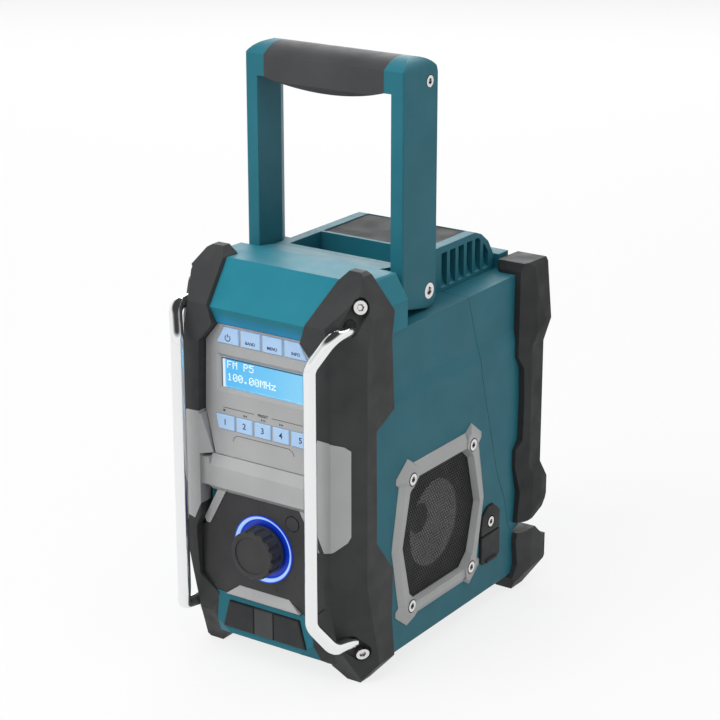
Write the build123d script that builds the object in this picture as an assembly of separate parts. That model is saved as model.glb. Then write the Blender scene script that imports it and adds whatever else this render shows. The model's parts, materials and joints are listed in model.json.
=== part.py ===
from build123d import *
import os
from math import atan2, cos, degrees, radians, sin

os.makedirs("parts", exist_ok=True)

# A battery jobsite radio: folding carrying handle, two side speakers, rubber corner bumpers,
# two chrome guard bars in front of the controls and a battery bay behind a rear door.
# Millimetres. +X is the right side seen from the front, +Y is the rear, +Z is up.
# The origin is on the ground, in the middle of the footprint.

# ---------------------------------------------------------------- driving dimensions
# casing
BODY_HALF_WIDTH = 74.0        # side panels
BODY_BOTTOM = 12.0            # underside of the casing above the ground
WALL = 3.0
FRONT_SPLIT = -64.0           # joint between front and main housing
FRONT_DEPTH = 44.0            # front housing, from that joint to the display panel's face
SHOULDER_DEPTH = 19.0         # how far the front housing's shoulders reach over the main housing
PANEL_STEP = 1.6              # how far the upper side panel is set in
PANEL_STEP_LOW = 197.0        # the set-in starts here
PANEL_STEP_HEIGHT = 11.0      # and is full this much higher
SEAM_GAP = 0.4                # between parts that have to come apart
FIT_GAP = 0.2                 # around pieces that are laid into a seat
RUNNING_CLEARANCE = 0.05      # radial, of everything that turns

# stack of the front face, from the ground to the shelf beside the raised box
CHIN_HEIGHT = 51.8
KNOB_PANEL_HEIGHT = 75.4
PANEL_JOINT = 0.4             # open joint between two panels
BAND_HEIGHT = 25.4            # silver band with its upper and lower slope
DISPLAY_PANEL_HEIGHT = 94.2

# front face
CHANNEL_MARGIN = 25.0         # bumper on each side of the controls
PANEL_THICKNESS = 4.0
PLATE_SLOPE = (29.8, 26.1)    # run and rise of the plate above the controls
PLATE_OVERHANG = 4.8          # ridge of that plate in front of the display panel
PLATE_UNDERCUT = (3.0, 11.0)  # slope under the ridge, run and rise
PLATE_RIDGE_RISE = 12.0       # ridge above the shelf

CHIN_LIP_HEIGHT = 21.0
SHOULDER_DROP = 1.6           # shoulders under the top of the plate

# raised box with the phone slot, the pad and the vents
BOX_MARGIN = 24.0             # shelf on each side of the box
BOX_HEIGHT = 32.5
BOX_SIDE_WALL = 8.0
BOX_FRONT_DEPTH = 27.0        # in front of the slot
SLOT_DEPTH = 24.0             # from the top of the box down to the slot's floor
SLOT_LENGTH = 38.0
PAD_LENGTH = 57.0
PAD_THICKNESS = 1.4
PAD_SINK = 0.6                # pad under the rim of the box
VENT_START = 15.5             # middle of the front vent behind the pad's front edge
VENT_PITCH = 11.2
VENT_COUNT = 6
VENT_WIDTH = 7.4

# front bumpers
BUMPER_PROUD = 7.3            # in front of the display panel
BUMPER_OVERHANG = 2.0         # outside the side panels
BUMPER_RISE = 44.5            # above the shelf
BUMPER_THICKNESS = 4.0        # rubber over the housing's corner, inside the side panel's plane
BEVEL_WIDTH = 16.0            # corner bevel, measured across the face
BEVEL_SLOPE = 0.81            # bevel run in x for each millimetre of y
BUMPER_SCREW_RADIUS = 4.6
BUMPER_SCREW_SINK = 3.0
SCREW_SHANK_RADIUS = 2.0

# guard bars
BAR_INSET = 5.9               # middle of the bar inside the bevel's front edge
BAR_STANDOFF = 21.5           # middle of the bar in front of the display panel
BAR_DIAMETER = 9.0
BAR_LENGTH = 187.0            # between its two outer bends
BAR_FOOT = 54.7               # height of the lower outer bend
BAR_BEND_RADIUS = 13.0
BAR_REACH = 9.0               # from the bevel to the bend in front of it
BAR_ROOT = 8.0                # bar end inside the bumper

# knob
KNOB_RISE = 40.3              # middle of the knob above the chin
KNOB_RADIUS = 17.5
KNOB_FACE_RADIUS = 13.5
KNOB_DEPTH = 13.8
KNOB_FLUTES = 14
KNOB_FLUTE_RADIUS = 2.3
KNOB_TRAVEL = 1.0
KNOB_PANEL_PROUD = 1.5        # knob panel in front of the display panel
RING_WIDTH = 4.0              # bright rim of the light ring
RING_GAP = 3.0                # between the knob and that rim
RING_DEPTH = 3.0
SHAFT_RADIUS = 3.0
SHAFT_ENGAGEMENT = 8.9        # shaft inside the knob
ENCODER_SIDE = 14.0
ENCODER_DEPTH = 11.0
SENSOR_OFFSET = (24.5, 24.4)  # in from the channel's edge, up from the knob's middle
SENSOR_RADIUS = 5.2

# band, wings and the strip beside the knob panel
BAND_PROUD = 5.0              # in front of the display panel
BAND_SLOPE_HEIGHT = 7.2       # slope above the band's flat face
BAND_LOWER_SLOPE = 3.4

# buttons
BUTTON_CLEARANCE = 0.35       # around each button
BUTTON_PROUD = 0.9            # how far a button stands out
BUTTON_TRAVEL = 0.8
BUTTON_WEB = 1.0              # silver web between two buttons
BUTTON_STEM = 4.0
BUTTON_EDGE = 0.5
ROW_MARGIN = 10.6             # end of a row of buttons to the channel's edge
FUNCTION_PITCH = 18.0
FUNCTION_HEIGHT = 11.4
FUNCTION_DROP = 1.8           # top of the row under the top of the panel
FUNCTION_CORNER = 6.4         # slant of the outer corners
PRESET_MARGIN = 11.0
PRESET_HEIGHT = 10.4
PRESET_RISE = 19.2            # foot of the row above the foot of the panel
PRESET_COUNT = 5
PRESET_CORNER = -2.0
BOARD_DEPTH = 5.0             # circuit board behind the display panel's back
BOARD_THICKNESS = 1.6
SWITCH_SIDE = 6.0
SWITCH_HEIGHT = 1.0
SWITCH_PLUNGER_GAP = 0.4

# display
WINDOW_MARGIN = 13.4          # end of the window to the channel's edge
WINDOW_HEIGHT = 21.6
WINDOW_DROP = 23.8            # top of the window under the top of the panel
WINDOW_RIM = 2.6              # bevel around the window
WINDOW_STEP = 1.8             # how deep the bevel goes

# ports
PORT_LOW = 26.0
PORT_HEIGHT = 20.0
PORT_ROOT_HALF = 8.0
PORT_HALF_TOP = 29.5
PORT_HALF_BOTTOM = 35.0
PORT_PROUD = 1.9              # covers in front of the chin
PORT_POCKET_DEPTH = 1.6
PORT_GAP = 0.5
PORT_X = 20.0                 # middle of each port from the middle
USB_SIZE = (14.0, 7.2)        # shell, width and height
USB_WALL = 0.8
AUX_SIDE = 8.2
AUX_RADIUS = 1.8
AUX_LENGTH = 12.0
SOCKET_LENGTH = 14.0
SOCKET_GAP = 0.4

# speakers
SPEAKER_MARGIN = 0.3          # frame behind the joint of the housings
SPEAKER_RISE = 16.7           # frame above the casing's underside
FRAME_HALF_DEPTH = 60.7       # along y
FRAME_HALF_HEIGHT = 62.4
FRAME_BAR = 11.2              # width of the frame's front and rear bars
FRAME_PROUD = 3.8             # ears over the side panel
FRAME_STEP = 0.8              # bars under the ears
FRAME_BEVEL = (4.8, 2.6)      # bevel along the bars, in the panel's plane and outwards
SPEAKER_SCREW_INSET = (21.4, 15.0)   # from the frame's ends along y and z
SPEAKER_SCREW_RADIUS = 4.2
SPEAKER_SCREW_SINK = 2.2
GRILLE_SINK = 3.0             # back of the grille under the side panel
GRILLE_THICKNESS = 1.2
GRILLE_HOLE = 3.0
GRILLE_PITCH = 7.6
CONE_RADIUS = 32.0
SURROUND_WIDTH = 4.0
CONE_DEPTH = 12.0
BASKET_RIM = 11.0             # basket's flange outside the cone
BASKET_DEPTH = 34.0
MAGNET_RADIUS = 27.0
MAGNET_LENGTH = 15.0

# power inlet and its cover on the right side
INLET_BORE = 4.0
INLET_SIDE = 15.0
INLET_LENGTH = 10.0
INLET_RISE = 11.0             # middle of the inlet above the foot of its cover
COVER_TUCK = 4.5              # cover's front edge in front of the speaker frame's end
COVER_HALF_WIDTH = 13.0
COVER_SLANT = 7.0             # slant of its upper corners
COVER_LOW = 37.0
COVER_FLAP_HEIGHT = 22.5
COVER_TAB_HEIGHT = 21.5
COVER_SCREW_DROP = 12.5       # screw under the top of the tab
COVER_SCREW_RADIUS = 3.8
COVER_SEAT = 1.6              # cover sunk in the side panel
COVER_PROUD = 1.8
COVER_GAP = 0.4

# handle
BOSS_HEIGHT = 3.8             # pivot boss over the raised box's side
BOSS_RADIUS = 9.0
BOSS_RISE = 13.0              # pivot above the shelf
ARM_GAP = 0.5                 # arm to pivot boss
ARM_THICKNESS = 9.9
HANDLE_MARGIN = 8.6           # arms behind the shoulders
HANDLE_WIDTH = 42.0           # along y
HANDLE_LENGTH = 162.2         # from the pivot to the crown
PIVOT_FROM_REAR = 8.6         # pivot in front of the handle's rear face
CROWN_RISE = 7.0              # crown above the handle's front edge
HANDLE_CORNER_RADIUS = 9.5
ARM_SLANT = 15.0              # arm's inner face ends this much before its rear face
GRIP_INSET = 5.7              # grip ends inside the arms' inner faces
GRIP_END_DEPTH = 22.0         # from the crown to the underside, at the grip's ends
GRIP_MIDDLE_DEPTH = 29.0      # and in its middle
HANDLE_SCREW_DROP = 17.5
HANDLE_SCREW_RADIUS = 4.0
AERIAL_DROP = 12.0
AERIAL_RADIUS = 1.5
PIVOT_RADIUS = 4.0
PIVOT_HEAD_RADIUS = 5.6
PIVOT_SINK = 2.4              # pivot head's seat in the arm
PIVOT_ROOT = 7.0              # pivot inside the raised box's side

# battery door, its hinge and its latch
SEAM_MARGIN = 19.9            # foot of the seam behind the inlet's cover
DOOR_RISE = 10.5              # door's top edge above the shelf
DOOR_DEPTH = 20.9             # door's back behind the foot of the seam
BOX_REAR_STEP = 14.0          # raised box ends this much in front of the door's back
HINGE_Z = 50.0
HINGE_RADIUS = 2.5
KNUCKLE_RADIUS = 5.5
KNUCKLE_WIDTH = 9.0
EAR_WIDTH = 8.0
HINGE_MARGIN = 5.7            # outer ear inside the rear bumper
INNER_EAR = 12.0              # inner ear from the middle
LATCH_HALF_WIDTH = 20.0
LATCH_PIN_DROP = 7.5          # pin under the shelf
LATCH_PIN_DEPTH = 6.5         # pin in front of the door's back
LATCH_PIN_RADIUS = 1.5
LATCH_CHEEK = 4.0
REAR_BUMPER_WIDTH = 18.3      # inside the side panel's plane
REAR_BUMPER_OVERHANG = 9.4    # outside it
REAR_BUMPER_PROUD = 14.0      # behind the door
REAR_BUMPER_RISE = 8.5        # above the shelf

# battery terminal
RAIL_WIDTH = 58.0
RAIL_LENGTH = 76.0
RAIL_BASE = 4.0
RAIL_GROOVE = 6.0             # between the base and the lips
RAIL_LIP = 2.5
RAIL_WALL = 4.0
TERMINAL_SIZE = (30.0, 16.0, 7.0)

# ---------------------------------------------------------------- places that follow from them
# along z
KNOB_PANEL_TOP = CHIN_HEIGHT + KNOB_PANEL_HEIGHT
KNOB_HEIGHT = CHIN_HEIGHT + KNOB_RISE
BAND_FOOT = KNOB_PANEL_TOP + PANEL_JOINT
BAND_TOP = BAND_FOOT + BAND_HEIGHT
DISPLAY_FOOT = BAND_TOP + PANEL_JOINT
DISPLAY_TOP = DISPLAY_FOOT + DISPLAY_PANEL_HEIGHT
LEDGE = DISPLAY_TOP
BOX_TOP = LEDGE + BOX_HEIGHT
SLOT_FLOOR = BOX_TOP - SLOT_DEPTH
BUMPER_TOP = LEDGE + BUMPER_RISE
PANEL_STEP_HIGH = PANEL_STEP_LOW + PANEL_STEP_HEIGHT
FUNCTION_TOP = DISPLAY_TOP - FUNCTION_DROP
FUNCTION_ROW = (FUNCTION_TOP - FUNCTION_HEIGHT, FUNCTION_TOP)
PRESET_FOOT = DISPLAY_FOOT + PRESET_RISE
PRESET_ROW = (PRESET_FOOT, PRESET_FOOT + PRESET_HEIGHT)
WINDOW_HIGH = DISPLAY_TOP - WINDOW_DROP
WINDOW_LOW = WINDOW_HIGH - WINDOW_HEIGHT
PORT_HIGH = PORT_LOW + PORT_HEIGHT
PORT_MIDDLE = (PORT_LOW + PORT_HIGH) / 2
BAR_TOP = BAR_FOOT + BAR_LENGTH
SPEAKER_Z = BODY_BOTTOM + SPEAKER_RISE + FRAME_HALF_HEIGHT
INLET_Z = COVER_LOW + INLET_RISE
COVER_FOLD = COVER_LOW + COVER_FLAP_HEIGHT
COVER_HIGH = COVER_FOLD + COVER_TAB_HEIGHT
PIVOT_Z = LEDGE + BOSS_RISE
HANDLE_TOP = PIVOT_Z + HANDLE_LENGTH
HANDLE_SHOULDER = HANDLE_TOP - CROWN_RISE
DOOR_TOP = LEDGE + DOOR_RISE
LATCH_PIN_Z = LEDGE - LATCH_PIN_DROP
REAR_BUMPER_TOP = LEDGE + REAR_BUMPER_RISE

# along y, from the joint of the housings to the front
PANEL_FACE = FRONT_SPLIT - FRONT_DEPTH
PANEL_BACK = PANEL_FACE + PANEL_THICKNESS
FRONT_WALL = PANEL_BACK + WALL
BUMPER_FACE = PANEL_FACE - BUMPER_PROUD
BAR_Y = PANEL_FACE - BAR_STANDOFF
BAND_FACE = PANEL_FACE - BAND_PROUD
KNOB_PANEL_FACE = PANEL_FACE - KNOB_PANEL_PROUD
KNOB_BASE = KNOB_PANEL_FACE - KNOB_TRAVEL + PANEL_JOINT
KNOB_FRONT = KNOB_BASE - KNOB_DEPTH
ENCODER_BACK = FRONT_WALL + ENCODER_DEPTH
BOARD_FRONT = PANEL_BACK + BOARD_DEPTH
SWITCH_FACE = BOARD_FRONT - SWITCH_HEIGHT
STEM_END = SWITCH_FACE - BUTTON_TRAVEL - SWITCH_PLUNGER_GAP
GLASS_FRONT = PANEL_BACK - PANEL_JOINT
CHIN_FACE = KNOB_PANEL_FACE
CHIN_BACK = CHIN_FACE + WALL
CHIN_TOP = CHIN_HEIGHT - PANEL_JOINT
CHIN_BOTTOM = (PANEL_FACE + 17.0, BODY_BOTTOM - 2.3)             # (y, z)
PLATE_RIDGE = (PANEL_FACE - PLATE_OVERHANG, LEDGE + PLATE_RIDGE_RISE)
PLATE_UNDER = (PLATE_RIDGE[0] + PLATE_UNDERCUT[0], PLATE_RIDGE[1] - PLATE_UNDERCUT[1])
PLATE_TOP = (PLATE_RIDGE[0] + PLATE_SLOPE[0], PLATE_RIDGE[1] + PLATE_SLOPE[1])
SHOULDER_TOP = PLATE_TOP[1] - SHOULDER_DROP
PORT_FACE = CHIN_FACE - PORT_PROUD
PORT_FLOOR = CHIN_FACE + PORT_POCKET_DEPTH

# and to the rear
SHOULDER_REAR = FRONT_SPLIT + SHOULDER_DEPTH
SPEAKER_Y = FRONT_SPLIT + SPEAKER_MARGIN + FRAME_HALF_DEPTH
HANDLE_FRONT = SHOULDER_REAR + HANDLE_MARGIN
HANDLE_REAR = HANDLE_FRONT + HANDLE_WIDTH
PIVOT_Y = HANDLE_REAR - PIVOT_FROM_REAR
CREST_Y = HANDLE_FRONT + 0.45 * HANDLE_WIDTH
SLOT_FRONT = SHOULDER_REAR + BOX_FRONT_DEPTH
SLOT_REAR = SLOT_FRONT + SLOT_LENGTH
PAD_FRONT = SLOT_REAR + WALL
PAD_REAR = PAD_FRONT + PAD_LENGTH
INLET_Y = SPEAKER_Y + FRAME_HALF_DEPTH - COVER_TUCK + COVER_HALF_WIDTH
SEAM_FOOT = INLET_Y + COVER_HALF_WIDTH + SEAM_MARGIN
DOOR_REAR = SEAM_FOOT + DOOR_DEPTH
BOX_REAR = DOOR_REAR - BOX_REAR_STEP
LATCH_PIN_Y = DOOR_REAR - LATCH_PIN_DEPTH
REAR_BUMPER_BACK = DOOR_REAR + REAR_BUMPER_PROUD

# along x
BUMPER_SIDE = BODY_HALF_WIDTH + BUMPER_OVERHANG
BEVEL_START = BUMPER_SIDE - BEVEL_WIDTH
CHANNEL = BODY_HALF_WIDTH - CHANNEL_MARGIN           # half the space between the front bumpers
BAR_X = BEVEL_START - BAR_INSET
BOX_HALF_WIDTH = BODY_HALF_WIDTH - BOX_MARGIN
SLOT_HALF_WIDTH = BOX_HALF_WIDTH - BOX_SIDE_WALL
INNER_SIDE = BODY_HALF_WIDTH - PANEL_STEP - WALL     # inner face of the side panels
WINDOW_HALF_WIDTH = CHANNEL - WINDOW_MARGIN
RING_INNER_RADIUS = KNOB_RADIUS + RING_GAP
RING_OUTER_RADIUS = RING_INNER_RADIUS + RING_WIDTH
GRILLE_PLANE = BODY_HALF_WIDTH - GRILLE_SINK
FRAME_BACK = GRILLE_PLANE + GRILLE_THICKNESS
FRAME_FACE = BODY_HALF_WIDTH + FRAME_PROUD
BASKET_RADIUS = CONE_RADIUS + BASKET_RIM
COVER_BACK = BODY_HALF_WIDTH - COVER_SEAT
INLET_FACE = BODY_HALF_WIDTH - COVER_SEAT - 0.9
HANDLE_INNER = BOX_HALF_WIDTH + BOSS_HEIGHT + ARM_GAP
HANDLE_OUTER = HANDLE_INNER + ARM_THICKNESS
GRIP_END = HANDLE_INNER - GRIP_INSET
PIVOT_SEAT = HANDLE_OUTER - PIVOT_SINK
REAR_BUMPER_INNER = BODY_HALF_WIDTH - REAR_BUMPER_WIDTH
REAR_BUMPER_OUTER = BODY_HALF_WIDTH + REAR_BUMPER_OVERHANG
OUTER_EAR = REAR_BUMPER_INNER - HINGE_MARGIN - EAR_WIDTH
EAR_PLACES = (INNER_EAR, OUTER_EAR)                  # inner faces of the right ears

# The seam between the main housing and the battery door on the side panels, (y, z).
SEAM = [(SEAM_FOOT - 64.8, LEDGE), (SEAM_FOOT - 51.1, 207.7), (SEAM_FOOT - 46.0, 183.3),
        (SEAM_FOOT - 24.0, 105.8), (SEAM_FOOT - 20.0, 95.5), (SEAM_FOOT - 12.4, 80.9),
        (SEAM_FOOT - 5.0, 53.9), (SEAM_FOOT, 48.2)]


# ---------------------------------------------------------------- helpers
def prism(plane, points, depth):
    """Closed outline drawn on a plane and extruded along the plane's normal."""
    return extrude(plane * make_face(Polyline(*points, close=True)), depth)


def from_side(points, x_low, x_high):
    """Prism of a (y, z) outline between two x."""
    return prism(Plane.YZ.offset(x_low), points, x_high - x_low)


def from_front(points, y_front, y_rear):
    """Prism of an (x, z) outline between two y."""
    return prism(Plane.XZ.offset(-y_rear), points, y_rear - y_front)


def from_top(points, z_low, z_high):
    """Prism of an (x, y) outline between two z."""
    return prism(Plane.XY.offset(z_low), points, z_high - z_low)


def block(x_low, x_high, y_low, y_high, z_low, z_high):
    """Box given by its corners."""
    size = (x_high - x_low, y_high - y_low, z_high - z_low)
    middle = ((x_low + x_high) / 2, (y_low + y_high) / 2, (z_low + z_high) / 2)
    return Pos(*middle) * Box(*size)


def rod(start, direction, radius, length, end_radius=None):
    """Cylinder, or cone, from a start point along a direction."""
    plane = Plane(origin=start, z_dir=direction)
    if end_radius is None:
        return extrude(plane * Circle(radius), length)
    return plane * Cone(radius, end_radius, length, align=(Align.CENTER, Align.CENTER, Align.MIN))


def both_sides(shape):
    """A piece and its mirror image as one group."""
    return shape + mirror(shape, about=Plane.YZ)


def symmetric(points):
    """Full outline from its right half, listed from the bottom to the top."""
    return points + [(-x, z) for x, z in reversed(points)]


def four_fold(quarter, y_middle, z_middle):
    """Outline about a middle from the quarter at the upper rear; its first point lies on the y axis."""
    upper = quarter + [(-y, z) for y, z in reversed(quarter)]
    lower = [(y, -z) for y, z in reversed(upper[1:-1])]
    return [(y_middle + y, z_middle + z) for y, z in upper + lower]


def trim(shape, first, second, third, inside):
    """Cut a shape by the plane through three points and keep the side of a given point."""
    first, second, third = Vector(*first), Vector(*second), Vector(*third)
    normal = (second - first).cross(third - first).normalized()
    keep_top = (Vector(*inside) - first).dot(normal) > 0
    plane = Plane(origin=first, z_dir=normal)
    return split(shape, bisect_by=plane, keep=Keep.TOP if keep_top else Keep.BOTTOM)


def bevelled(prism_shape, axis, last, width):
    """Prism with a chamfer round its first or last face along an axis."""
    face = prism_shape.faces().sort_by(axis)[-1 if last else 0]
    return chamfer(face.edges(), width)


def screw(point, direction, head_radius, head_height, shank_radius, shank_length):
    """Socket head screw that stands on its seat, with a hex socket and a plain shank."""
    head = rod(point, direction, head_radius, head_height)
    socket_floor = Vector(*point) + direction * head_height * 0.4
    socket = Plane(origin=socket_floor, z_dir=direction) * RegularPolygon(head_radius * 0.55, 6)
    head -= extrude(socket, head_height)
    return head + rod(point, -direction, shank_radius, shank_length)


# ---------------------------------------------------------------- front bumpers and guard bars
def chin_edge():
    """Right edge of the chin against the bumper, from the top, (x, z)."""
    return [(CHANNEL - 9.6, CHIN_HEIGHT - 2.2), (CHANNEL - 7.8, CHIN_LIP_HEIGHT + 8.8)]


def bumper_form():
    """Right front bumper before its cut-outs: side outline, front outline and corner bevels."""
    split_y, face, side = FRONT_SPLIT, BUMPER_FACE, BUMPER_SIDE
    crest = (PANEL_FACE + 27.3, BUMPER_TOP)
    ridge_z = crest[1] - (crest[0] - face) * PLATE_SLOPE[1] / PLATE_SLOPE[0]
    profile = [crest, (split_y - 10.0, BUMPER_TOP), (split_y + 0.7, LEDGE + 17.8),
               (split_y - 2.7, LEDGE - 0.5), (split_y + 0.6, LEDGE - 51.3),
               (split_y - 20.5, LEDGE - 61.3),
               (split_y - 20.0, 105.4), (split_y - 0.3, 80.2), (split_y - 1.0, 41.8),
               (split_y + 2.4, BODY_BOTTOM), (split_y - 12.0, 0.0), (split_y - 23.5, 0.0),
               (face + 24.8, 6.0), (face + 9.3, 32.0), (face + 2.3, 62.0), (face, 92.0), (face, ridge_z)]
    front = [(side - 22.0, 0.0), (side - 11.0, 0.0), (side, 14.0), (side, LEDGE + 16.5),
             (side - 12.0, BUMPER_TOP - 2.0), (side - 16.0, BUMPER_TOP + 0.5),
             (side - 24.0, BUMPER_TOP + 0.5),
             (CHANNEL - 2.0, BUMPER_TOP - 6.0), (CHANNEL - 9.5, LEDGE + 12.0),
             (CHANNEL - 13.0, LEDGE + 1.0),
             (CHANNEL - 1.5, LEDGE - 12.5), (CHANNEL, LEDGE - 61.6), (CHANNEL, KNOB_PANEL_TOP - 19.2),
             (CHANNEL + 4.0, KNOB_PANEL_TOP - 28.2), (CHANNEL + 4.0, CHIN_HEIGHT + 10.2),
             *chin_edge(), (CHANNEL - 6.0, 22.0), (CHANNEL - 4.0, 9.0)]
    form = from_side(profile, 0, side) & from_front(front, face - 20, split_y + 20)
    # straight bevel along the corner, then tilted ones towards the top and the foot
    inside = (CHANNEL, split_y - 20, LEDGE / 2)
    rear = face + BEVEL_WIDTH / BEVEL_SLOPE
    for z_from, tilt, z_to in ((0.0, 0.0, 100.0), (LEDGE - 4.6, 11.0, LEDGE + 34.4), (78.0, 12.0, 28.0)):
        tilted = (BEVEL_START, face + tilt, z_to)
        form = trim(form, (BEVEL_START, face, z_from), (side, rear, z_from), tilted, inside)
    return form


def bevel_normal():
    return Vector(1.0, -BEVEL_SLOPE, 0.0).normalized()


def bar_roots():
    """Points on the bevel where the upper and the lower end of the right bar enter it."""
    upper = Vector(BEVEL_START + 6.9, BUMPER_FACE + 13.7, BAR_TOP + 19.8)
    return upper, Vector(BEVEL_START + 4.5, BUMPER_FACE + 16.1, BAR_FOOT - 20.7)


def guard_bar():
    """Bent chrome tube in front of the right bumper; each end turns once more and enters the bevel."""
    upper, lower = bar_roots()
    outward = bevel_normal()
    corners = [upper - outward * BAR_ROOT, upper + outward * BAR_REACH, (BAR_X, BAR_Y, BAR_TOP),
               (BAR_X, BAR_Y, BAR_FOOT), lower + outward * BAR_REACH, lower - outward * BAR_ROOT]
    path = FilletPolyline(*corners, radius=BAR_BEND_RADIUS)
    section = Plane(origin=path @ 0, z_dir=path % 0) * Circle(BAR_DIAMETER / 2)
    return sweep(section, path)


def wing_region():
    """Space of the right silver wing on the bumper's face."""
    edge, foot = CHANNEL, BAND_FOOT
    outline = [(edge - 6.5, foot + 2.9), (edge + 5.5, foot - 23.1), (edge + 12.5, foot - 21.1),
               (edge + 18.5, foot - 15.6), (edge + 20.0, foot - 11.6), (edge + 20.0, foot + 49.4),
               (edge + 17.0, foot + 52.9), (edge + 10.0, foot + 56.4), (edge - 2.5, foot + 56.8),
               (edge - 6.0, foot + 23.4)]
    return from_front(outline, BUMPER_FACE - 15, PANEL_BACK)


def bumper_screw_seats():
    """Seat and outward direction of the upper and the lower right screw."""
    top = (BUMPER_SIDE - 6.4, BUMPER_FACE + 21.3, LEDGE + 25.9)
    foot = (BUMPER_SIDE - 5.5, BUMPER_FACE + 22.8, 25.0)
    seats = []
    for place, lift in ((top, 0.30), (foot, -0.30)):
        outward = Vector(0.74, -0.60, lift).normalized()
        seats.append((Vector(*place) - outward * BUMPER_SCREW_SINK, outward))
    return seats


def bumper_screws():
    group = [screw(seat, outward, BUMPER_SCREW_RADIUS, 2.6, SCREW_SHANK_RADIUS, 10.0)
             for seat, outward in bumper_screw_seats()]
    return both_sides(group[0] + group[1])


def corner_core():
    """Corner of the front housing that the right bumper is moulded over."""
    side, inner = BODY_HALF_WIDTH - BUMPER_THICKNESS, CHANNEL - 19.0
    upper = [(inner, FRONT_SPLIT), (side, FRONT_SPLIT), (side, FRONT_SPLIT - 23.0),
             (BEVEL_START, PANEL_FACE + 9.0), (inner, PANEL_FACE + 5.0)]
    lower = [(inner, FRONT_SPLIT), (side, FRONT_SPLIT), (side, FRONT_SPLIT - 8.0),
             (side - 14.0, FRONT_SPLIT - 18.0), (inner, FRONT_SPLIT - 24.0)]
    waist = 44.0
    return from_top(upper, waist, LEDGE + 14.5) + from_top(lower, BODY_BOTTOM + 2, waist)


def front_bumper(form, bar, core):
    """Right bumper with a long pocket from each bar end to the screw beside it."""
    bumper = form - (form & wing_region()) - core
    for seat, outward in bumper_screw_seats():
        bumper -= rod(seat, outward, BUMPER_SCREW_RADIUS + 1.2, 20)
        bumper -= rod(seat - outward * 10.0, outward, SCREW_SHANK_RADIUS, 12)
    for root, (seat, outward) in zip(bar_roots(), bumper_screw_seats()):
        along = (seat - root).normalized()
        normal = bevel_normal()
        normal = (normal - along * normal.dot(along)).normalized()
        pocket_floor = Plane(origin=(seat + root) / 2 - normal * 1.6, x_dir=along, z_dir=normal)
        bumper -= extrude(pocket_floor * SlotOverall((seat - root).length + 13.0, 13.0), 20)
    return bumper - bar


# ---------------------------------------------------------------- front housing
def casing_outline(step):
    """Front view of the casing; its upper side panels are set in by a step."""
    side = BODY_HALF_WIDTH
    return symmetric([(side - 2, BODY_BOTTOM), (side, BODY_BOTTOM + 2), (side, PANEL_STEP_LOW),
                      (side - step, PANEL_STEP_HIGH), (side - step, BUMPER_TOP + 10)])


def front_cavity():
    """Hollow of the front housing, open at the back and kept off the corners under the bumpers."""
    inner = [(FRONT_SPLIT + 1, BODY_BOTTOM + WALL), (CHIN_BOTTOM[0] + 1, CHIN_BOTTOM[1] + WALL),
             (CHIN_BACK, CHIN_LIP_HEIGHT + 2), (CHIN_BACK, CHIN_TOP - WALL),
             (FRONT_WALL, CHIN_TOP - WALL),
             (FRONT_WALL, PLATE_UNDER[1] + WALL), (PLATE_UNDER[0] + WALL, PLATE_UNDER[1] + WALL),
             (PLATE_RIDGE[0] + 4.5, PLATE_RIDGE[1] - 0.5), (PLATE_TOP[0] + 1, PLATE_TOP[1] - 4),
             (SHOULDER_REAR - WALL, SHOULDER_TOP - WALL), (SHOULDER_REAR - WALL, LEDGE + SEAM_GAP + WALL),
             (FRONT_SPLIT + 1, LEDGE + SEAM_GAP + WALL)]
    side = BODY_HALF_WIDTH - BUMPER_THICKNESS - WALL
    front = symmetric([(side, BODY_BOTTOM), (side, LEDGE + 17.5), (side - 6.5, SHOULDER_TOP - WALL - 1.0),
                       (side - 9.0, SHOULDER_TOP + 2)])
    cavity = from_side(inner, -side, side) & from_front(front, BUMPER_FACE, SHOULDER_REAR)
    edge, rear, waist = CHANNEL - 5.0, FRONT_SPLIT, 44.0
    corner = [(edge, BUMPER_FACE), (edge, rear - 33.5), (edge + 14.0, rear - 31.0), (side, rear - 20.0),
              (side + 1, rear - 20.0), (side + 1, BUMPER_FACE)]
    low_corner = [(edge, BUMPER_FACE), (edge, rear - 20.0), (edge + 10.0, rear - 15.0),
                  (side, rear - 6.0),
                  (side + 1, rear - 6.0), (side + 1, BUMPER_FACE)]
    corners = from_top(corner, waist - 4, BUMPER_TOP) + from_top(low_corner, 0, waist + 4)
    return cavity - both_sides(corners)


def port_recess():
    """Outline of the recess in the chin that holds the port covers."""
    return symmetric([(PORT_HALF_BOTTOM + PORT_GAP, PORT_LOW - PORT_GAP),
                      (PORT_HALF_TOP + PORT_GAP, PORT_HIGH + PORT_GAP)])


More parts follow.
